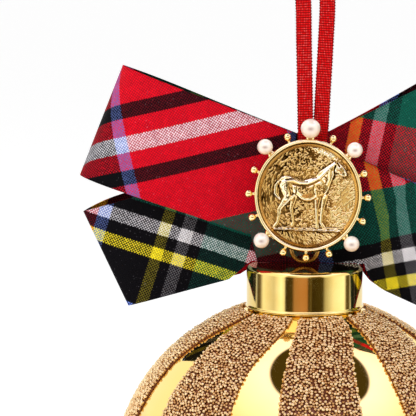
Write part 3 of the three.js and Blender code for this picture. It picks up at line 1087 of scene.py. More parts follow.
@dataclass
class BeadStripes:
    """Eight stripes of seed beads, wider near the cap and under the ball."""

    count: int = 8
    first: float = 5.6
    width: float = 28.0
    flare: float = 10.0
    flare_reach: float = 16.0
    twist: float = 9.0
    start: float = 19.0
    end: float = 168.0
    bead_radius: float = 0.45
    bead_sizes: tuple[float, float] = (0.86, 1.1)
    bead_rise: float = 0.28
    sink: float = 0.12
    rise: float = 0.16
    spacing: float = 0.66
    density_per_mm2: float = 40.0
    bed_depth: float = 0.2
    bed_root: float = 0.1
    columns: int = 16
    rows: int = 90

    def patch(self, stripe: int, lift: float) -> np.ndarray:
        """A grid of points over a stripe, row after row from the cap down.

        Args:
            stripe: The stripe's number from 0.
            lift: The distance from the glass.

        Returns:
            The points.
        """
        polar, share = np.meshgrid(np.linspace(self.start, self.end, self.rows),
                                   np.linspace(-1, 1, self.columns), indexing="ij")
        top, bottom = (np.exp(-((away / self.flare_reach) ** 2))
                       for away in (polar - self.start, self.end - polar))
        half = (self.width + self.flare * (top + bottom)) / 2
        centre = self.first + stripe * TURN / self.count + self.twist * top
        azimuth, down = np.radians(centre + half * share), np.radians(polar)
        radius = BALL_RADIUS + lift
        flat = radius * np.sin(down)
        points = np.stack([flat * np.sin(azimuth), -flat * np.cos(azimuth),
                           BALL_CENTRE + radius * np.cos(down)], -1)
        return points.reshape(-1, 3)

    def bed(self, stripe: int) -> bpy.types.Object:
        """The thin layer of glue under a stripe's beads, a closed slab.

        Args:
            stripe: The stripe's number from 0.

        Returns:
            The slab.
        """
        outer, inner = self.patch(stripe, self.bed_depth), self.patch(stripe, -self.bed_root)
        sheet, below = grid_faces(self.rows, self.columns), len(outer)
        faces = flipped(sheet) + [tuple(below + i for i in face) for face in sheet]
        edge = grid_border(self.rows, self.columns)
        for here, following in zip(edge, edge[1:] + edge[:1]):
            faces.append((here, following, below + following, below + here))
        return make_object(f"bead_glue_{stripe + 1}", np.concatenate([outer, inner]), faces)

    def build(self) -> None:
        """Makes the stripes."""
        finish = BeadFinish()
        beads, glue = finish.beads(), finish.bed()
        tree = strewn_beads(self.bead_sizes, self.sink, self.rise)
        faces = flipped(grid_faces(self.rows, self.columns))
        for stripe in range(self.count):
            finish_piece(self.bed(stripe), glue, Slot.BEAD_GOLD)
            ground = make_object("ground", self.patch(stripe, self.bed_depth + self.bead_rise), faces)
            mesh = tree.grown(ground, Spacing=self.spacing * MM, Density=self.density_per_mm2 / MM ** 2,
                              Bead_Radius=self.bead_radius * MM, Seed=SEED + stripe, Material=beads)
            finish_piece(add_object(f"beads_{stripe + 1}", mesh), None, Slot.BEAD_GOLD,
                         f"bead_stripe_{stripe + 1}")


@dataclass
class Cap:
    """The polished cap with its rounded shoulder and rolled lip, and the wire ring on it."""

    edge_round: float = 1.3
    dish_reach: float = 3.2
    lip: float = 0.3
    lip_height: float = 0.9
    seam: float = 0.2
    corner: float = 0.4
    segments: int = 144
    ring_radius: float = 3.5
    ring_wire: float = 0.6
    ring_rise: float = 0.3
    ring_steps: tuple[int, int] = (64, 20)

    def cup(self) -> bpy.types.Object:
        """The cap, hollow and open below.

        Returns:
            The cap's object.
        """
        bottom, half_lip = CAP_TOP - CAP_HEIGHT, self.lip_height / 2
        inside, ceiling, wall = CAP_RADIUS - CAP_WALL, CAP_TOP - CAP_WALL, CAP_RADIUS
        profile = [(0.0, ceiling), (inside - self.corner, ceiling), (inside, ceiling - self.corner),
                   (inside, bottom + 0.1), (inside + 0.1, bottom)]
        profile += arc(wall + self.lip - half_lip, bottom + half_lip, half_lip, -80, 60, 10)
        profile += arc(wall + self.seam, bottom + self.lip_height + 0.9 * self.seam, self.seam, 230, 180, 3)
        profile += arc(wall - self.edge_round, CAP_TOP - self.edge_round, self.edge_round, 0, 90, 12)
        profile += [(wall - self.dish_reach, CAP_TOP + 0.02), (0.0, CAP_TOP)]
        return make_object("ornament_cap", *turned(profile, self.segments))

    def ring(self) -> bpy.types.Object:
        """The ring, standing on the cap in the plane of X and Z.

        Returns:
            The ring's object.
        """
        middle = CAP_TOP + self.ring_rise + self.ring_radius + self.ring_wire
        around, section = np.meshgrid(*(np.linspace(0, 2 * np.pi, steps, endpoint=False)
                                        for steps in self.ring_steps), indexing="ij")
        reach = self.ring_radius + self.ring_wire * np.cos(section)
        points = np.stack([reach * np.cos(around), self.ring_wire * np.sin(section),
                           middle + reach * np.sin(around)], -1)
        return make_object("cap_wire_ring", points.reshape(-1, 3), grid_faces(*self.ring_steps, True, True))

    def build(self) -> None:
        """Makes the cap and its ring."""
        finish_piece(self.cup(), CAP_GOLD.material(), Slot.GOLD_CAP, "cap")
        finish_piece(self.ring(), RING_STEEL.material(), Slot.STEEL_RING, "cap_ring")


# The bow


@dataclass(frozen=True)
class Crosswise:
    """A line across the ribbon: its middle [x, z], its length and its lean from upright."""

    at: tuple[float, float]
    width: float
    lean: float

    def point(self, t: np.ndarray) -> np.ndarray:
        """Points on the line, t from -1 at the lower edge to 1 at the upper."""
        reach, lean = t * self.width / 2, math.radians(self.lean)
        return np.stack([self.at[0] + reach * math.sin(lean), self.at[1] + reach * math.cos(lean)], -1)


@dataclass(frozen=True)
class Loop:
    """One side of a band: its fold, how far its front and back walls swell, and how the cloth was cut.

    row and cross are the direction, in degrees, in which the sett's rows and crossing stripes follow each
    other, with the distance at which the sett starts.
    """

    fold: Crosswise
    front: float
    back: float
    row: tuple[float, float]
    cross: tuple[float, float]


@dataclass
class TartanBand:
    """A flat ring of tartan ribbon, drawn out to a loop on both sides of its waist."""

    name: str
    node: str
    depth: float
    waist: Crosswise
    left: Loop
    right: Loop
    wall: float = 0.36
    slack: float = 0.6
    ripple: float = 0.35
    stations: int = 56
    levels: int = 25
    anchor: float = 0.45
    rest: float = CAP_TOP + 0.1
    rest_reach: float = 15.75
    drop: float = 3.2
    drop_reach: float = 0.6
    slope: float = 0.75
    lean: float = 0.1
    raised: float = 0.3

    def shares(self) -> np.ndarray:
        """The stations' shares of the way from waist to fold, closer together near the fold."""
        return 1 - (1 - np.linspace(0, 1, self.stations)) ** 2

    def between(self, side: Loop, t: np.ndarray, share: np.ndarray) -> np.ndarray:
        """Points of the flat ribbon between waist and fold.

        Args:
            side: The loop.
            t: Places across the ribbon, -1 to 1.
            share: Shares of the way from waist to fold.

        Returns:
            Their x and z.
        """
        return self.waist.point(t) * (1 - share[..., None]) + side.fold.point(t) * share[..., None]

    def wall_grid(self, side: Loop, face: int) -> tuple[np.ndarray, np.ndarray, np.ndarray]:
        """Points of the middle of one wall, from waist to fold.

        Args:
            side: The loop.
            face: -1 for the front wall, 1 for the back wall.

        Returns:
            The points, how far the cloth has run from the waist at each station, and how far the cap has lifted
            each point.
        """
        share, t = np.meshgrid(self.shares(), np.linspace(-1, 1, self.levels), indexing="ij")
        flat = self.between(side, t, share)
        bulge = side.front if face < 0 else side.back
        room = self.slack * np.sqrt(np.clip(1 - share ** 14, 0, 1))
        swell = share ** 1.5 * np.sqrt(np.clip(1 - share ** 4, 0, 1)) / 0.55 * (1 - 0.3 * t * t)
        ripple = (self.ripple * np.sin(5.2 * share + 1.3 * t + face) * np.sin(np.pi * share)
                  * (0.4 + 0.6 * t * t))
        y = self.depth + face * (room + bulge * swell) + ripple
        y = y + self.lean * np.clip(self.waist.at[1] - flat[..., 1], 0, None) * (1 - share)
        low = self.between(side, np.array(-1.0), share)
        outside = np.hypot(low[..., 0], y) - self.rest_reach
        beyond = np.clip(outside, 0, None)
        lift = (self.rest - self.drop * (1 - np.exp(-beyond / self.drop_reach))
                - self.slope * beyond - low[..., 1])
        lift = np.where(outside > -2.0, np.clip(lift, 0, None), lift) * (1 - t) / 2
        raised = self.raised * (1 + t) / 2 * np.sin(np.pi * share ** 3) * (face > 0)
        points = np.stack([flat[..., 0], y, flat[..., 1] + lift + raised], -1)
        steps = np.linalg.norm(np.diff(points[:, self.levels // 2], axis=0), axis=1)
        return points, np.concatenate([[0], np.cumsum(steps)]), lift

    def cloth(self, side: Loop, run: np.ndarray, lift: np.ndarray) -> np.ndarray:
        """The place in the cloth's sett of each point of a side.

        Args:
            side: The loop.
            run: How far the cloth has run from the waist at each station.
            lift: How far the cap has lifted each point.

        Returns:
            Crossing and row places in millimetres, one pair for each station and level.
        """
        share = run[:, None] / self.flat_length(side)
        flat = self.between(side, np.linspace(-1, 1, self.levels)[None], share)
        flat[..., 1] += lift
        turns = [(math.radians(angle), shift) for angle, shift in (side.cross, side.row)]
        return np.stack([flat[..., 0] * math.cos(turn) + flat[..., 1] * math.sin(turn) + shift
                         for turn, shift in turns], -1)

    def flat_length(self, side: Loop) -> float:
        """The straight distance from the waist to a fold."""
        return np.linalg.norm(np.array(side.fold.at) - np.array(self.waist.at))

    def walls(self, side: Loop) -> tuple[tuple, tuple]:
        """The front and the back wall of one side, each from waist to fold.

        Args:
            side: The loop.

        Returns:
            The points of both walls, and the places of both in the sett.
        """
        front, front_run, front_lift = self.wall_grid(side, -1)
        back, back_run, back_lift = self.wall_grid(side, 1)
        anchor = int(self.anchor * self.stations)
        front_run = front_run - (front_run[anchor] - self.shares()[anchor] * self.flat_length(side))
        behind = front_run[-1] + (back_run[-1] - back_run)
        return (front, back), (self.cloth(side, front_run, front_lift), self.cloth(side, behind, back_lift))

    def build(self, material: bpy.types.Material) -> None:
        """Makes the band: its ring of cloth, with thickness, UV map and finish.

        Args:
            material: The tartan.
        """
        middle, cloth = (np.concatenate([front, back[-2::-1], left_back[1:-1], left_front[-2:0:-1]])
                         for (front, back), (left_front, left_back)
                         in zip(self.walls(self.right), self.walls(self.left)))
        count, levels = middle.shape[:2]
        around = np.roll(middle, -1, 0) - np.roll(middle, 1, 0)
        normal = np.cross(around, np.gradient(middle, axis=1))
        normal *= self.wall / 2 / np.linalg.norm(normal, axis=-1, keepdims=True)
        sheet = grid_faces(count, levels, closed_rows=True)
        total = count * levels
        faces = flipped(sheet) + [tuple(total + i for i in face) for face in sheet]
        for i in range(count):
            low, next_low = i * levels, ((i + 1) % count) * levels
            top, next_top = low + levels - 1, next_low + levels - 1
            faces += [(low, next_low, total + next_low, total + low),
                      (top, total + top, total + next_top, next_top)]
        points = np.concatenate([(middle + normal).reshape(-1, 3), (middle - normal).reshape(-1, 3)])
        piece = make_object(self.name, points, faces)
        map_weave(piece, np.concatenate([cloth.reshape(-1, 2)] * 2))
        finish_piece(piece, material, Slot.TARTAN, self.node)


# The hanging ribbon


@dataclass
class HangingRibbon:
    """The narrow red ribbon: up in front from the ring, over at the top, and down behind."""

    line: tuple = (
        (-0.1, -0.35, -84.9), (-0.1, -1.0, -84.5), (-0.1, -1.2, -83.2), (-0.25, -1.1, -78), (-0.15, -0.9, -70),
        (-0.05, -0.75, -62), (0, -0.6, -55), (-0.2, -0.45, -44), (-0.5, -0.25, -32), (-0.75, -0.1, -21.3),
        (-1.4, 0, -14), (-2.3, 0, -8), (-2.9, 0, -3.8), (-2.2, 0, -0.9), (0, 0, 0.25), (2.2, 0, -0.9),
        (2.9, 0, -3.8), (3.7, 0, -8), (4.8, 0, -14), (5.45, 0.05, -21.3), (5.1, 0.15, -32), (4.5, 0.3, -44),
        (3.9, 0.5, -55), (3.1, 0.7, -62), (2.0, 0.95, -70), (0.8, 1.1, -78), (0.1, 1.2, -83.2),
        (0.1, 1.0, -84.5), (0.1, 0.35, -84.9),
    )
    width: float = 3.9
    thickness: float = 0.4
    side_points: int = 13
    steps_per_span: int = 14
    twist_from: float = -20.0
    twist_to: float = -5.0
    picot: tuple = ((0, -0.26), (0.12, -0.2), (0.17, 0.0), (0.12, 0.2), (0, 0.26))
    picot_pitch: float = 0.62

    def centreline(self) -> np.ndarray:
        """The ribbon's middle as close points, on a smooth curve through its line.

        Returns:
            The points.
        """
        points = np.array(self.line, float)
        points = np.concatenate([[2 * points[0] - points[1]], points, [2 * points[-1] - points[-2]]])
        found = []
        for i in range(1, len(points) - 2):
            p = points[i - 1:i + 3]
            gaps = np.linalg.norm(np.diff(p, axis=0), axis=1) ** 0.5
            lead = (p[1] - p[0]) / gaps[0] - (p[2] - p[0]) / (gaps[0] + gaps[1]) + (p[2] - p[1]) / gaps[1]
            trail = (p[2] - p[1]) / gaps[1] - (p[3] - p[1]) / (gaps[1] + gaps[2]) + (p[3] - p[2]) / gaps[2]
            lead, trail = lead * gaps[1], trail * gaps[1]
            for u in np.linspace(0, 1, self.steps_per_span, endpoint=False):
                found.append((2 * u**3 - 3 * u**2 + 1) * p[1] + (u**3 - 2 * u**2 + u) * lead
                             + (-2 * u**3 + 3 * u**2) * p[2] + (u**3 - u**2) * trail)
        return np.array(found + [points[-2]])

    def build(self) -> None:
        """Makes the ribbon."""
        middle = self.centreline()
        count = len(middle)
        run = np.concatenate([[0], np.cumsum(np.linalg.norm(np.diff(middle, axis=0), axis=1))])
        tangent = np.gradient(middle, axis=0)
        tangent /= np.linalg.norm(tangent, axis=1, keepdims=True)
        rise = np.clip((middle[:, 2] - self.twist_from) / (self.twist_to - self.twist_from), 0, 1)
        turn = 90 * rise * rise * (3 - 2 * rise)
        turn = np.radians(np.where(run < run[-1] / 2, turn, 180 - turn))
        across = np.stack([np.cos(turn), np.sin(turn), np.zeros(count)], 1)
        across -= tangent * np.sum(across * tangent, 1, keepdims=True)
        across /= np.linalg.norm(across, axis=1, keepdims=True)
        face = np.cross(tangent, across)
        half, thin = self.width / 2, self.thickness / 2
        front = [(half * u, thin * (1 - 0.5 * u ** 6)) for u in np.linspace(-1, 1, self.side_points)]
        section = front + [(u, -v) for u, v in reversed(front)]
        points = np.stack([middle + across * u + face * v for u, v in section], 1)
        around = len(section)
        faces = grid_faces(count, around, closed_columns=True)
        faces += [tuple(range(around))[::-1], tuple((count - 1) * around + i for i in range(around))]
        piece = make_object("red_ribbon", points.reshape(-1, 3), faces)
        map_weave(piece, np.stack([np.tile([u for u, _ in section], count), np.repeat(run, around)], 1))
        material = RibbonFinish().material()
        piece.data.materials.append(material)
        picots = self.picots(middle, run, (across, face, tangent), material)
        mesh = piece.data
        bpy.data.objects.remove(piece)
        piece = joined("red_ribbon", [mesh, picots])
        finish_piece(piece, None, Slot.RED_RIBBON, "hanging_ribbon")

    def picots(self, middle: np.ndarray, run: np.ndarray, axes: tuple,
               material: bpy.types.Material) -> bpy.types.Mesh:
        """The small turns of thread along both edges.

        Args:
            middle: The ribbon's middle.
            run: The length run at each point of it.
            axes: The directions across the ribbon, out of its face and along it, at each point.
            material: The ribbon's material.

        Returns:
            The mesh of all the turns.
        """
        stops = np.searchsorted(run, np.arange(self.picot_pitch, run[-1] - self.picot_pitch, self.picot_pitch))
        places, turns = [], []
        for across, face, tangent, place in zip(*(values[stops] for values in (*axes, middle))):
            for edge in (-1, 1):
                places.append(place + across * edge * (self.width / 2))
                turns.append(Matrix((across * edge, face * edge, tangent)).transposed())
        form = make_object("picot", *turned(list(self.picot), 8))
        return copies_on("picots", form, places, turns, material)


# The medallion


def held(values: np.ndarray, width: float = 1.0) -> np.ndarray:
    """Values as shares of a width, held from 0 to 1."""
    return np.clip(values / width, 0, 1)


def smooth_max(first: np.ndarray, second: np.ndarray, blend: float) -> np.ndarray:
    """The larger of two heights, with a soft seam.

    Args:
        first: One field of heights.
        second: The other.
        blend: The height over which they melt together.

    Returns:
        The joined field.
    """
    share = np.clip(0.5 + 0.5 * (first - second) / blend, 0, 1)
    return second + (first - second) * share + blend * share * (1 - share)


@dataclass(frozen=True)
class CoinField:
    """Places over the coin, x across and y up, and the soft forms that are drawn on them."""

    x: np.ndarray
    y: np.ndarray

    def from_line(self, start: tuple, end: tuple) -> tuple[np.ndarray, np.ndarray]:
        """How the places lie to a straight line.

        Args:
            start: The line's first point.
            end: Its last point.

        Returns:
            How far along the line each place's nearest point is, 0 to 1, and the square of its distance.
        """
        (ax, ay), (bx, by) = start, end
        dx, dy = bx - ax, by - ay
        along = held((self.x - ax) * dx + (self.y - ay) * dy, dx ** 2 + dy ** 2)
        return along, (self.x - ax - along * dx) ** 2 + (self.y - ay - along * dy) ** 2

    def stroke(self, path: tuple, reach: float) -> np.ndarray:
        """A soft line, 1 on it and 0 beyond its reach.

        Args:
            path: The points of the line.
            reach: Its half width.

        Returns:
            The strength of the line at each place.
        """
        away = [self.from_line(start, end)[1] for start, end in zip(path, path[1:])]
        return np.exp(-np.min(away, axis=0) / reach ** 2)

    def oval(self, x: float, y: float, wide: float, tall: float) -> np.ndarray:
        """0 in the middle of an oval, 1 on its edge and more beyond."""
        return ((self.x - x) / wide) ** 2 + ((self.y - y) / tall) ** 2

    def leaning(self, surface: np.ndarray) -> np.ndarray:
        """How far each place of a surface leans up and left, towards the photograph's light.

        Args:
            surface: The heights.

        Returns:
            From -1, where it leans down and right, to 1.
        """
        (x_i, x_j), (y_i, y_j), (z_i, z_j) = (np.gradient(values) for values in (self.x, self.y, surface))
        area = x_i * y_j - x_j * y_i
        area = np.where(np.abs(area) < 1e-6, 1e-6, area)
        across, up = (z_i * y_j - z_j * y_i) / area, (z_j * x_i - z_i * x_j) / area
        return np.tanh(1.4 * (0.6 * across - 0.8 * up))


@dataclass
class HorseRelief:
    """The standing horse as a field of heights over the coin, from rounded limbs and fine strokes.

    A joint is its place and radius, a ridge or groove its half width, its height and its path, and a patch
    or painted highlight its place and its half width and height.
    """

    joints: dict = field(default_factory=lambda: {
        "croup": (-5.79, 2.93, 2.05), "loin": (-2.84, 2.2, 1.98), "girth": (-0.26, 1.25, 2.8),
        "shoulder": (2.46, 2.3, 2.75), "breast": (3.1, 2.8, 2.4), "neck": (4.15, 5.0, 2.0),
        "throat": (5.7, 6.85, 1.4), "poll": (6.8, 8.2, 0.95), "earRoot": (6.73, 8.61, 0.42),
        "ear": (7.24, 9.84, 0.17), "cheek": (7.6, 7.1, 1.2),
        "nose": (8.6, 6.2, 0.95), "muzzle": (9.15, 5.65, 0.66), "thigh": (-5.46, 1.21, 1.7),
        "stifle": (-5.22, -0.52, 1.1), "gaskin": (-6.44, -2.48, 0.72), "hock": (-7.32, -3.76, 0.56),
        "hindCannon": (-7.31, -5.58, 0.42), "hindFetlock": (-7.58, -7.13, 0.42), "hindHoof": (-8.3, -8.2, 0.55),
        "farStifle": (-3.6, -0.6, 0.85), "farHock": (-4.22, -3.47, 0.5), "farHindCannon": (-3.84, -5.28, 0.38),
        "farHindFetlock": (-3.57, -6.91, 0.35), "farHindHoof": (-3.81, -7.7, 0.5), "elbow": (2.5, -0.5, 1.0),
        "knee": (2.3, -3.26, 0.5), "foreCannon": (2.4, -5.08, 0.4), "foreFetlock": (2.5, -7.0, 0.4),
        "foreHoof": (2.6, -8.1, 0.5), "farElbow": (4.3, -0.3, 0.85), "farKnee": (3.8, -3.22, 0.52),
        "farForeCannon": (3.6, -5.05, 0.42), "farForeFetlock": (3.5, -6.79, 0.38),
        "farForeHoof": (4.3, -8.1, 0.5),
        "dock": (-7.01, 4.05, 0.46), "tailBend": (-8.33, 2.27, 0.52), "tailFall": (-8.36, 0.35, 0.52),
        "tailTip": (-7.21, -1.16, 0.3),
    })
    limbs: tuple = (
        "farStifle farHock farHindCannon farHindFetlock farHindHoof",
        "farElbow farKnee farForeCannon farForeFetlock farForeHoof",
        "croup loin girth shoulder", "breast neck throat poll", "earRoot ear", "poll cheek nose muzzle",
        "thigh stifle gaskin hock hindCannon hindFetlock hindHoof",
        "elbow knee foreCannon foreFetlock foreHoof", "dock tailBend tailFall tailTip",
    )
    seam: float = 0.06
    tallest: float = 1.5
    flattening: float = 1.5
    ridges: tuple = (
        (0.24, 0.16, ((-7.3, 4.42), (-6.4, 4.83), (-3.83, 4.62), (-2.54, 4.05), (-0.7, 3.92), (0.75, 4.35),
                      (2.0, 5.27), (3.24, 6.47), (4.66, 7.62), (6.09, 8.62), (7.16, 9.72))),
        (0.34, 0.24, ((-7.33, 2.59), (-5.99, 3.5), (-3.81, 3.76), (-1.96, 3.14), (-0.13, 3.16), (1.49, 3.95),
                      (2.83, 4.65), (3.72, 5.55), (5.4, 7.4), (6.55, 8.3))),
        (0.3, 0.12, ((-6.66, 4.35), (-7.91, 3.59), (-8.6, 2.07), (-8.67, 0.34), (-8.05, -0.76),
                     (-7.08, -1.31))),
        (0.55, 0.2, ((-5.79, 2.93), (-6.08, 1.57), (-5.39, 0.25), (-5.76, -0.92))),
        (0.3, 0.22, ((-3.67, 2.23), (-3.53, 0.88), (-3.6, 0.11), (-4.56, -1.17), (-5.71, -2.55))),
        (0.34, 0.24, ((-3.47, 0.21), (-2.2, -0.71), (-0.72, -1.25), (0.74, -1.12), (2.0, -0.42))),
        (0.2, 0.14, ((-3.29, 2.05), (-2.62, 0.82), (-1.76, -0.12))),
        (0.34, 0.2, ((6.27, 6.0), (6.01, 4.26), (5.6, 2.52), (4.69, 1.05), (4.09, -0.32))),
        (0.18, 0.18, ((4.55, 5.27), (3.58, 4.19), (4.34, 3.44))),
        (0.2, 0.18, ((5.25, 6.55), (5.13, 4.43), (4.72, 2.97))),
        (0.2, 0.16, ((1.84, 1.44), (1.99, -0.29), (2.4, -0.66))),
        (0.26, 0.3, ((7.75, 9.0), (8.7, 7.5), (9.5, 6.2), (9.6, 5.5))),
        (0.24, 0.2, ((6.75, 6.5), (7.4, 5.75), (8.9, 5.25))),
    )
    grooves: tuple = (
        (0.3, 0.26, ((-3.9, 2.75), (-2.2, 2.4), (-0.2, 2.4), (1.4, 3.1), (2.6, 3.85))),
        (0.22, 0.28, ((-7.3, 3.3), (-7.65, 2.0), (-7.3, 0.6), (-6.9, -0.6))),
        (0.16, 0.2, ((-3.15, 2.0), (-3.05, 0.9), (-3.2, 0.2))),
        (0.2, 0.34, ((6.75, 7.9), (6.45, 6.9), (6.5, 6.0), (7.1, 5.4))),
        (0.14, 0.24, ((8.7, 4.95), (9.4, 5.05))),
        (0.16, 0.24, ((4.1, 4.9), (4.75, 4.3), (4.3, 3.1))), (0.2, 0.4, ((7.2, 8.6), (7.75, 7.75))),
        (0.13, 0.3, ((7.4, 5.9), (7.5, 5.9))), (0.18, 0.26, ((-5.0, 2.0), (-4.6, 0.9), (-4.4, 0.1))),
        (0.2, 0.2, ((1.5, 2.6), (1.2, 1.2), (1.6, 0.2))),
    )
    groove_core: float = 0.3
    rough_patches: tuple = ((-0.9, 1.35, 1.8, 1.1), (3.1, 1.5, 1.3, 1.4), (-4.5, 1.2, 0.5, 0.8))
    rough_edge: float = 1.6
    # Painted highlights over the body, the head and the legs; their strength follows.
    painted_highlights: tuple = (
        (-6.5, 2.7, 0.75, 0.9), (-6.9, -4.4, 0.3, 1.3), (7.6, 6.9, 0.75, 0.9), (8.8, 5.95, 0.6, 0.5),
        (3.4, -4.5, 0.25, 2.6), (-6.4, -2.3, 0.4, 0.9), (3.1, 3.2, 0.5, 0.5), (4.2, 2.1, 0.4, 0.5),
        (-5.2, -1.0, 0.4, 1.2), (2.2, -3.6, 0.2, 2.6), (3.0, -8.0, 0.35, 0.7), (-1.6, 0.2, 0.35, 0.3),
        (5.1, 4.8, 0.3, 0.9),
    )
    painted_highlight: float = 0.9

    def limb(self, coin: CoinField, names: list) -> np.ndarray:
        """The height of one rounded limb.

        Args:
            coin: The places over the coin.
            names: The joints that it runs through.

        Returns:
            The heights, 0 outside the limb.
        """
        tallest = np.zeros_like(coin.x)
        for start, end in zip(names, names[1:]):
            (*start_place, start_radius), (*end_place, end_radius) = self.joints[start], self.joints[end]
            along, away = coin.from_line(start_place, end_place)
            radius = start_radius + (end_radius - start_radius) * along
            tallest = np.maximum(tallest, np.sqrt(np.clip(radius ** 2 - away, 0, None)))
        return self.tallest * (1 - np.exp(-tallest / self.flattening))

    def heights(self, coin: CoinField) -> tuple[np.ndarray, np.ndarray, np.ndarray]:
        """The horse's height over the coin.

        Args:
            coin: The places over the coin.

        Returns:
            The heights in millimetres, 0 outside the horse, how dark its strokes are, from -1 on a ridge to 1
            in a groove, lowered where highlights are painted, and how rough its flank is, from 0 to 1.
        """
        body, tone, rough = (np.zeros_like(coin.x) for _ in range(3))
        for names in self.limbs:
            body = smooth_max(self.limb(coin, names.split()), body, self.seam)
        inside = held(body, 0.3)
        for width, height, path in self.ridges:
            line = coin.stroke(path, width) * inside
            body = body + height * line
            tone = np.minimum(tone, -line)
        for width, depth, path in self.grooves:
            line = coin.stroke(path, width) * inside
            body = body - depth * line
            tone = np.where(line > self.groove_core, np.maximum(tone, line), tone)
        # Painted highlights lower the tone, which makes the patina paler.
        for painted_highlight in self.painted_highlights:
            tone = tone - self.painted_highlight * np.exp(-coin.oval(*painted_highlight)) * inside * (tone < 0.3)
        for patch in self.rough_patches:
            rough = np.maximum(rough, held(self.rough_edge * (1 - coin.oval(*patch))))
        return body, np.clip(tone, -1, 1), rough * inside


@dataclass(frozen=True)
class CoinLayers:
    """What the coin's patina and its painted light and shade are worked out from, each over the whole coin.

    surface is its heights, ground the ground's own strokes from -1 to 1, and calm is 1 on the figure and 0 on
    the ground. tone and rough are the horse's, tone with its painted highlights, and worn is an oval where the
    ground is worn smooth and painted lighter as a highlight.
    """

    surface: np.ndarray
    ground: np.ndarray
    calm: np.ndarray
    tone: np.ndarray
    rough: np.ndarray
    worn: np.ndarray

    def sunk(self, reach: int) -> np.ndarray:
        """How far each place lies under the mean of its surroundings.

        Args:
            reach: How many places around count.

        Returns:
            The depths in millimetres.
        """
        kernel = np.hanning(2 * reach + 3)[1:-1]
        kernel /= kernel.sum()
        mean = np.pad(self.surface, reach, mode="edge")
        for axis in (0, 1):
            mean = np.apply_along_axis(lambda values: np.convolve(values, kernel, "valid"), axis, mean)
        return mean - self.surface


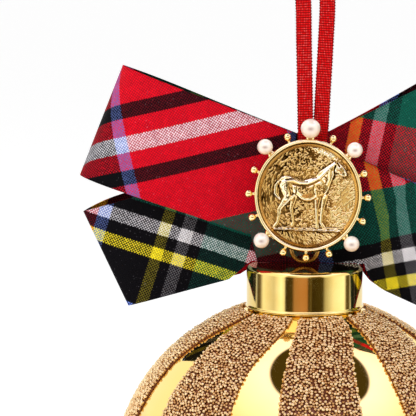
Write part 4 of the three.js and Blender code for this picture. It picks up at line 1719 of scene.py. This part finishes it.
@dataclass
class CoinFace:
    """The coin's face: a hammered ground, the horse and the uneven bar under it, with its patina.

    The patina is dark in the hollows and pale on the crests. It also keeps some of the photograph's light and
    shade, fixed to the surface: the ground is darker to the left, slopes that lean up and left are paler, and
    a few gleams and dark bands are listed.
    """

    squeeze: float
    reach: float
    depth: float
    cells: int = 284
    strokes: int = 4200
    strewn: float = 12.6
    stroke_lengths: tuple[float, float] = (0.25, 0.95)
    stroke_widths: tuple[float, float] = (0.09, 0.14)
    stroke_window: float = 1.5
    stroke_scatter: float = 0.3
    rim_strokes: tuple[float, float] = (-4.5, 2.5)
    slant_below: float = -9.3
    slant: tuple[float, float] = (2.2, 0.06)
    ground_relief: float = 0.13
    bar_span: tuple[float, float] = (-9.15, -8.35)
    bar_height: float = 0.5
    bar_half: float = 10.0
    bar_crests: tuple = (
        (0.22, 0.17, 1.0, ((-9.3, -8.95), (0, -8.95), (9.5, -9.05))),
        (0.3, 0.15, 0.5, ((-6.4, -8.2), (-2, -8.3), (2.6, -8.15))),
    )
    slab: tuple = (4.4, 9.4, -8.42, -7.95)
    slab_height: float = 0.4
    # Painted light and shade: an oval worn smooth and painted lighter, two dark bands, and a highlight along the
    # rim.
    worn_and_highlight_oval: tuple = (9.6, -0.2, 3.1, 5.2)
    dark_band: tuple = ((9.0, 4.2), (7.7, 4.4), (7.0, 2.6), (5.8, -1.7), (4.9, -6.5))
    painted_dark_brow: tuple = ((7.6, 10.1), (9.2, 8.1), (10.2, 6.2), (10.1, 5.0), (8.8, 4.5))
    rim_painted_highlight: tuple = (11.9, 0.55, 70.0, 15.0)

    def disc(self) -> CoinField:
        """An even grid over the oval coin.

        Returns:
            The places.
        """
        a, b = np.meshgrid(*[np.linspace(-1, 1, self.cells + 1)] * 2, indexing="xy")
        wide = np.abs(a) > np.abs(b)
        radius = np.where(wide, a, b)
        safe = np.where(np.abs(radius) < 1e-9, 1, radius)
        angle = np.where(wide, np.pi / 4 * b / safe, np.pi / 2 - np.pi / 4 * a / safe)
        return CoinField(radius * np.cos(angle) * self.squeeze * self.reach,
                         radius * np.sin(angle) * self.reach)

    def hammered(self, coin: CoinField) -> np.ndarray:
        """The coin's ground: short crossing strokes, which follow the rim at the left and run slantwise below.

        Args:
            coin: The places over the coin.

        Returns:
            The strokes' height, about -1 to 1.
        """
        rng = np.random.default_rng(SEED)
        ground = np.zeros_like(coin.x)
        rim_from, rim_over = self.rim_strokes
        for _ in range(self.strokes):
            at_x, at_y = rng.uniform(-self.strewn, self.strewn, 2)
            along_rim = math.atan2(at_y, at_x) + math.pi / 2
            bearing = rng.uniform(0, math.pi)
            if rng.random() < min(max((rim_from - at_x) / rim_over, 0.0), 1.0):
                bearing = along_rim + rng.normal(0, self.stroke_scatter)
            if at_y < self.slant_below:
                bearing = self.slant[0] + self.slant[1] * at_x + rng.normal(0, self.stroke_scatter)
            length, width = rng.uniform(*self.stroke_lengths), rng.uniform(*self.stroke_widths)
            near = (np.abs(coin.x - at_x) < self.stroke_window) & (np.abs(coin.y - at_y) < self.stroke_window)
            right, up = coin.x[near] - at_x, coin.y[near] - at_y
            run = right * math.cos(bearing) + up * math.sin(bearing)
            side = up * math.cos(bearing) - right * math.sin(bearing)
            ground[near] += rng.choice((-1.0, 1.0)) * np.exp(-((run / length) ** 2) - (side / width) ** 2)
        return np.tanh(1.2 * ground / np.std(ground))

    def bar(self, coin: CoinField) -> np.ndarray:
        """The uneven bar under the hooves, with a slab on it under the far fore hoof.

        Args:
            coin: The places over the coin.

        Returns:
            The heights, 0 outside the bar.
        """
        x, y = coin.x, coin.y
        bottom, top = self.bar_span
        wave = 0.07 * np.sin(1.9 * x) + 0.05 * np.sin(4.3 * x + 1.0)
        bar = self.bar_height * held(np.minimum(top + wave - y, y - bottom + wave), 0.12)
        for height, reach, share, path in self.bar_crests:
            bar = bar + height * CoinField(x, y + share * wave).stroke(path, reach)
        left, right, bottom, top = self.slab
        slab = held(np.minimum(top - y, y - bottom), 0.08) * held(np.minimum(x - left, right - x), 0.1)
        return np.maximum(bar, self.slab_height * slab) * held(self.bar_half - np.abs(x), 0.4)

    def patina_and_painted_light(self, coin: CoinField, layers: CoinLayers) -> np.ndarray:
        """The patina over the coin, with painted light and shade.

        Args:
            coin: The places over the coin.
            layers: The coin's surface and what goes with it.

        Returns:
            The patina with its painted light and shade, from 0, pale, to 1, dark.
        """
        # Painted shade: the ground darker to the left and along a dark band, and painted lighter over the worn
        # oval at the right.
        dim = held(0.62 - (coin.x - 0.14 * coin.y) / 15)
        dim = held(dim + 0.5 * coin.stroke(self.dark_band, 0.75) - 0.8 * layers.worn)
        hollow = np.tanh(-1.6 * layers.ground)
        ground = 0.24 + 0.56 * dim + (0.2 + 0.3 * dim) * hollow
        # Real patina in the sunk places, and painted shade along a second dark band by the head.
        ground = ground + 0.7 * held(layers.sunk(6) - 0.02, 0.16) + 0.5 * coin.stroke(self.painted_dark_brow, 0.3)
        # Painted light: slopes that lean up and left are paler.
        metal = 0.36 + 0.36 * layers.tone - 0.26 * coin.leaning(layers.surface)
        metal = metal + 0.35 * np.clip(layers.sunk(7) / 0.12, -0.5, 1)
        flank = (layers.calm < 0.9) & (layers.rough > 0.1)
        metal = np.where(flank, np.maximum(metal, 0.5 + 0.4 * hollow), metal)
        # A painted highlight along the rim at the upper right.
        gleam_reach, gleam_width, gleam_bearing, gleam_turn = self.rim_painted_highlight
        away = (np.hypot(coin.x / self.squeeze, coin.y) - gleam_reach) / gleam_width
        turn = (np.degrees(np.arctan2(coin.y, coin.x)) - gleam_bearing) / gleam_turn
        painted_highlight = np.exp(-(away ** 2)) * held(1.4 - turn ** 2)
        return held(ground * (1 - layers.calm) + metal * layers.calm - 0.6 * painted_highlight)

    def build(self) -> tuple[np.ndarray, np.ndarray]:
        """Works out the face.

        Returns:
            Its points, with heights over the casting's back, row after row, and the patina of each.
        """
        coin, relief = self.disc(), HorseRelief()
        ground = self.hammered(coin)
        horse, tone, rough = relief.heights(coin)
        figure = np.maximum(horse, self.bar(coin))
        calm = held(figure, 0.12) * (1 - 0.7 * rough)
        # The worn oval smooths the ground's strokes here, and the patina paints it lighter as a highlight.
        worn = np.exp(-coin.oval(*self.worn_and_highlight_oval))
        surface = self.depth + figure + self.ground_relief * ground * (1 - 0.94 * calm) * (1 - 0.8 * worn)
        patina_and_painted_light = self.patina_and_painted_light(coin, CoinLayers(surface, ground, calm, tone, rough, worn))
        return np.stack([coin.x, coin.y, surface], -1).reshape(-1, 3), patina_and_painted_light.ravel()


@dataclass(frozen=True)
class Pearl:
    """A pearl: its name, its holder counted to the left from the top, its radius and its reach."""

    name: str
    holder: int
    radius: float
    reach: float


@dataclass
class Medallion:
    """The oval casting with its horse, rim, small balls on stems and pearl cups, and the five pearls."""

    centre: tuple = (0.8, -4.7, -71.4)
    lean: float = 10.0
    roll: float = -1.8
    half_height: float = 14.55
    squeeze: float = 0.957
    coin_inset: float = 1.95
    coin_depth: float = 1.5
    coin_root: float = 0.8
    rim_depth: float = 3.0
    holders: int = 16
    prong_reach: float = 16.0
    prong_ball: float = 0.98
    prong_depth: float = 1.15
    prong_length: float = 2.6
    pearl_seat: float = 0.8
    foot_depth: float = 0.95
    pearls: tuple = (
        Pearl("pearl_top", 0, 2.5, 17.1), Pearl("pearl_upper_left", 2, 2.0, 17.0),
        Pearl("pearl_lower_left", 6, 2.0, 17.0), Pearl("pearl_lower_right", 10, 2.0, 17.0),
        Pearl("pearl_upper_right", 14, 2.0, 17.0),
    )
    sides: int = 144
    holder_tone: float = 0.16
    back_tone: float = 0.1
    wall_tone: float = 0.5

    def turn(self) -> Matrix:
        """The medallion's lean and roll."""
        return (Matrix.Rotation(math.radians(90 - self.lean), 3, "X")
                @ Matrix.Rotation(math.radians(self.roll), 3, "Z"))

    def placed(self, points: np.ndarray) -> np.ndarray:
        """Points of the medallion's plane, across, up and out of its back, at their place in the ornament."""
        return np.asarray(points, float) @ np.array(self.turn()).T + np.array(self.centre)

    def holder(self, index: int, reach: float, depth: float) -> np.ndarray:
        """The place of a holder on the rim, counted to the left from the top."""
        angle = math.radians(90 + index * TURN / self.holders)
        return np.array([self.squeeze * reach * math.cos(angle), reach * math.sin(angle), depth])

    def toned(self, name: str, points: np.ndarray, faces: list, patina_and_painted_light: np.ndarray) -> bpy.types.Object:
        """A form of the casting at its place, with its patina.

        Args:
            name: The form's name.
            points: Its points in the medallion's plane.
            faces: Its faces.
            patina_and_painted_light: The patina of each point.

        Returns:
            The form's object.
        """
        form = make_object(name, self.placed(points), faces)
        store(form, "patina_and_painted_light", patina_and_painted_light)
        return form

    def coin(self) -> bpy.types.Object:
        """The coin's face as a closed slab down to the casting's middle.

        Returns:
            The coin.
        """
        face = CoinFace(self.squeeze, self.half_height - self.coin_inset, self.coin_depth)
        top, patina_and_painted_light = face.build()
        border = grid_border(face.cells + 1, face.cells + 1)
        below = top[border]
        below[:, 2] = self.coin_root
        total, count = len(top), len(border)
        faces = grid_faces(face.cells + 1, face.cells + 1)
        for i in range(count):
            following = (i + 1) % count
            faces.append((border[following], border[i], total + i, total + following))
        faces.append(tuple(total + i for i in reversed(range(count))))
        return self.toned("coin", np.concatenate([top, below]), faces,
                          np.concatenate([patina_and_painted_light, np.full(count, self.wall_tone)]))

    def rim(self) -> bpy.types.Object:
        """The stepped oval frame, with a pale crest, a dark line inside it, a dark foot, and painted shade on its
        inner slope towards the upper left.

        Returns:
            The frame.
        """
        edge, top, coin = self.half_height, self.rim_depth, self.coin_depth
        profile = [(edge - 2.4, 0.0), (edge - 0.1, 0.0), (edge, 0.12), (edge, 0.75), (edge - 0.1, 0.86),
                   (edge - 0.12, 1.2), (edge - 0.15, top - 0.55)]
        profile += arc(edge - 0.6, top - 0.44, 0.44, 5, 172, 11)
        profile += [(edge - 1.1, top - 0.72), (edge - 1.22, top - 0.78), (edge - 1.36, top - 0.98),
                    (edge - 1.8, coin + 0.2), (edge - 2.0, coin - 0.05), (edge - 2.4, coin - 0.15)]
        points, faces = turned(profile, self.sides)
        inset = edge - np.hypot(points[:, 0], points[:, 1])
        crest = np.exp(-(((inset - 0.62) / 0.24) ** 2))
        line = np.abs(inset - 1.15) < 0.13
        # Painted shade on the inner slope, darker towards the upper left.
        painted_rim_shade = held(0.5 + (points[:, 1] - points[:, 0]) / (2.2 * edge)) * (inset > 1.2)
        patina_and_painted_light = 0.26 - 0.26 * crest + 0.6 * line + 0.22 * painted_rim_shade + np.clip(inset - 1.7, 0, 0.4)
        points[:, 0] *= self.squeeze
        return self.toned("rim", points, faces, patina_and_painted_light)

    def back_plate(self) -> bpy.types.Object:
        """The flat back of the casting.

        Returns:
            The back.
        """
        edge = self.half_height - 2.2
        profile = [(0, 0.05), (edge, 0.05), (edge + 0.1, 0.15), (edge + 0.1, 0.9), (0, 0.9)]
        points, faces = turned(profile, self.sides)
        points[:, 0] *= self.squeeze
        return self.toned("back_plate", points, faces, np.full(len(points), self.back_tone))

    def holder_copies(self, name: str, profile: list, places: list, material: bpy.types.Material, segments: int,
                      upright: bool = False) -> bpy.types.Mesh:
        """Copies of a turned form on holder places.

        Args:
            name: The form's name.
            profile: Radius and height pairs of the form.
            places: The holders' places in the medallion's plane.
            material: The casting's material.
            segments: The form's faces around.
            upright: Whether the form stands out of the face, and not outwards from the rim.

        Returns:
            The mesh of the copies.
        """
        form = make_object(name, *turned(profile, segments))
        store(form, "patina_and_painted_light", np.full(len(form.data.vertices), self.holder_tone))
        turns = []
        for x, y, _ in places:
            outward = (Matrix.Rotation(math.atan2(y, x) - math.pi / 2, 3, "Z")
                       @ Matrix.Rotation(-math.pi / 2, 3, "X"))
            turns.append(self.turn() @ (Matrix.Identity(3) if upright else outward))
        return copies_on(name, form, self.placed(places), turns, material)

    def prongs(self, material: bpy.types.Material) -> bpy.types.Mesh:
        """The small balls on stems, on the holder places that no pearl takes.

        Args:
            material: The casting's material.

        Returns:
            The mesh of all of them.
        """
        root, ball = -self.prong_length, self.prong_ball
        stem = [(0.0, root), (0.85, root), (0.8, root + 0.3), (0.5, root + 0.75), (0.36, -1.15), (0.4, -0.86)]
        stem += arc(0, 0, ball, -64, 90, 12)
        stem[-1] = (0.0, ball)
        free = sorted(set(range(self.holders)) - {pearl.holder for pearl in self.pearls})
        places = [self.holder(index, self.prong_reach, self.prong_depth) for index in free]
        return self.holder_copies("prong", stem, places, material, 20)

    def cups(self, pearls: tuple, material: bpy.types.Material) -> list:
        """The cups of pearls of one size, and the feet that join them to the rim.

        Args:
            pearls: The pearls.
            material: The casting's material.

        Returns:
            The mesh of the cups and the mesh of the feet.
        """
        size, seat = pearls[0].radius, self.pearl_seat
        depth, opening = seat + size, size + 0.05
        cup = [(0.0, 0.0), (0.6 * size, 0.0), (0.84 * size, seat + 0.2 * size),
               (0.93 * size, seat + 0.44 * size), (0.9 * size, seat + 0.48 * size)]
        cup += [(opening * math.cos(a), depth - opening * math.sin(a))
                for a in np.radians(np.linspace(33, 88, 8))]
        cup += [(0.0, depth - opening)]
        foot = [(0.0, -size - 0.9), (0.8 * size, -size - 0.9), (0.42 * size, -size - 0.1),
                (0.5 * size, -0.5 * size), (0.0, -0.5 * size)]
        seats, roots = ([self.holder(pearl.holder, pearl.reach, out) for pearl in pearls]
                        for out in (0.0, self.foot_depth))
        return [self.holder_copies("pearl_cup", cup, seats, material, 28, upright=True),
                self.holder_copies("pearl_foot", foot, roots, material, 16)]

    def pearl(self, pearl: Pearl) -> bpy.types.Object:
        """A pearl in its cup, with the painted reflections that its finish reads: a grey spot in front and the
        warm glow of the cups towards its lower edge.

        Args:
            pearl: Its size and place.

        Returns:
            The pearl.
        """
        points, faces = sphere(pearl.radius, 40)
        place = self.holder(pearl.holder, pearl.reach, self.pearl_seat + pearl.radius)
        piece = make_object(f"{pearl.name}_round", self.placed(points + place), faces)
        across, up, out = (points / pearl.radius).T
        # Painted reflections: a grey spot on the side that faces the front, and the warm glow of the gold cups
        # towards the lower edge.
        store(piece, "eye", 0.85 * np.exp(-((across / 0.3) ** 2) - ((up + 0.16) / 0.2) ** 2) * (out > 0))
        cup_glow = held(-0.1 - 0.75 * up + 0.35 * np.hypot(across, up) + 0.2 * across)
        store(piece, "painted_cup_reflection", held(cup_glow * held(1.3 - out)))
        return piece

    def build(self) -> None:
        """Makes the casting and the pearls."""
        gold, lustre = OldGoldFinish().material(), PearlFinish().material()
        meshes = [self.prongs(gold)] + self.cups(self.pearls[:1], gold) + self.cups(self.pearls[1:], gold)
        for form in (self.coin(), self.rim(), self.back_plate()):
            form.data.materials.append(gold)
            meshes.append(form.data)
            bpy.data.objects.remove(form)
        finish_piece(joined("horse_medallion", meshes), None, Slot.OLD_GOLD, "medallion")
        for pearl in self.pearls:
            finish_piece(self.pearl(pearl), lustre, Slot.PEARL, pearl.name)


def bands() -> list:
    """The bow's two bands.

    Returns:
        The front band and the back band.
    """
    front = TartanBand(
        "tartan_band_front", "bow_band_front", 3.6, Crosswise((0.5, -72.4), 28.8, 21.5),
        Loop(Crosswise((-53.2, -52.6), 31.0, 21.7), 7.0, -1.0, (-77.7, -47.2), (192.3, 48.35)),
        Loop(Crosswise((53.0, -94.9), 29.0, 22.3), 6.0, -1.0, (-77.7, -47.2), (192.3, 48.35)),
    )
    back = TartanBand(
        "tartan_band_back", "bow_band_back", 5.9, Crosswise((0.5, -74.6), 28.8, -24.0),
        Loop(Crosswise((-52.5, -89.5), 27.8, -25.2), 1.2, 7.5, (-107.4, -45.34), (162.6, 35.45)),
        Loop(Crosswise((52.5, -48.5), 28.6, -24.8), 1.2, 7.5, (78.7, 72.67), (168.9, 69.58)),
        drop=0.6, slope=0.85, raised=1.2,
    )
    return [front, back]


def main() -> None:
    """Builds the studio and every piece of the ornament in order."""
    logging.basicConfig(level=logging.INFO, format="%(message)s")
    studio = Studio()
    studio.camera()
    HangingRibbon().build()
    studio.build()
    Ball().build()
    Cap().build()
    BeadStripes().build()
    tartan = TartanFinish().material()
    for band in bands():
        band.build(tartan)
    Medallion().build()


if __name__ == "__main__":
    main()
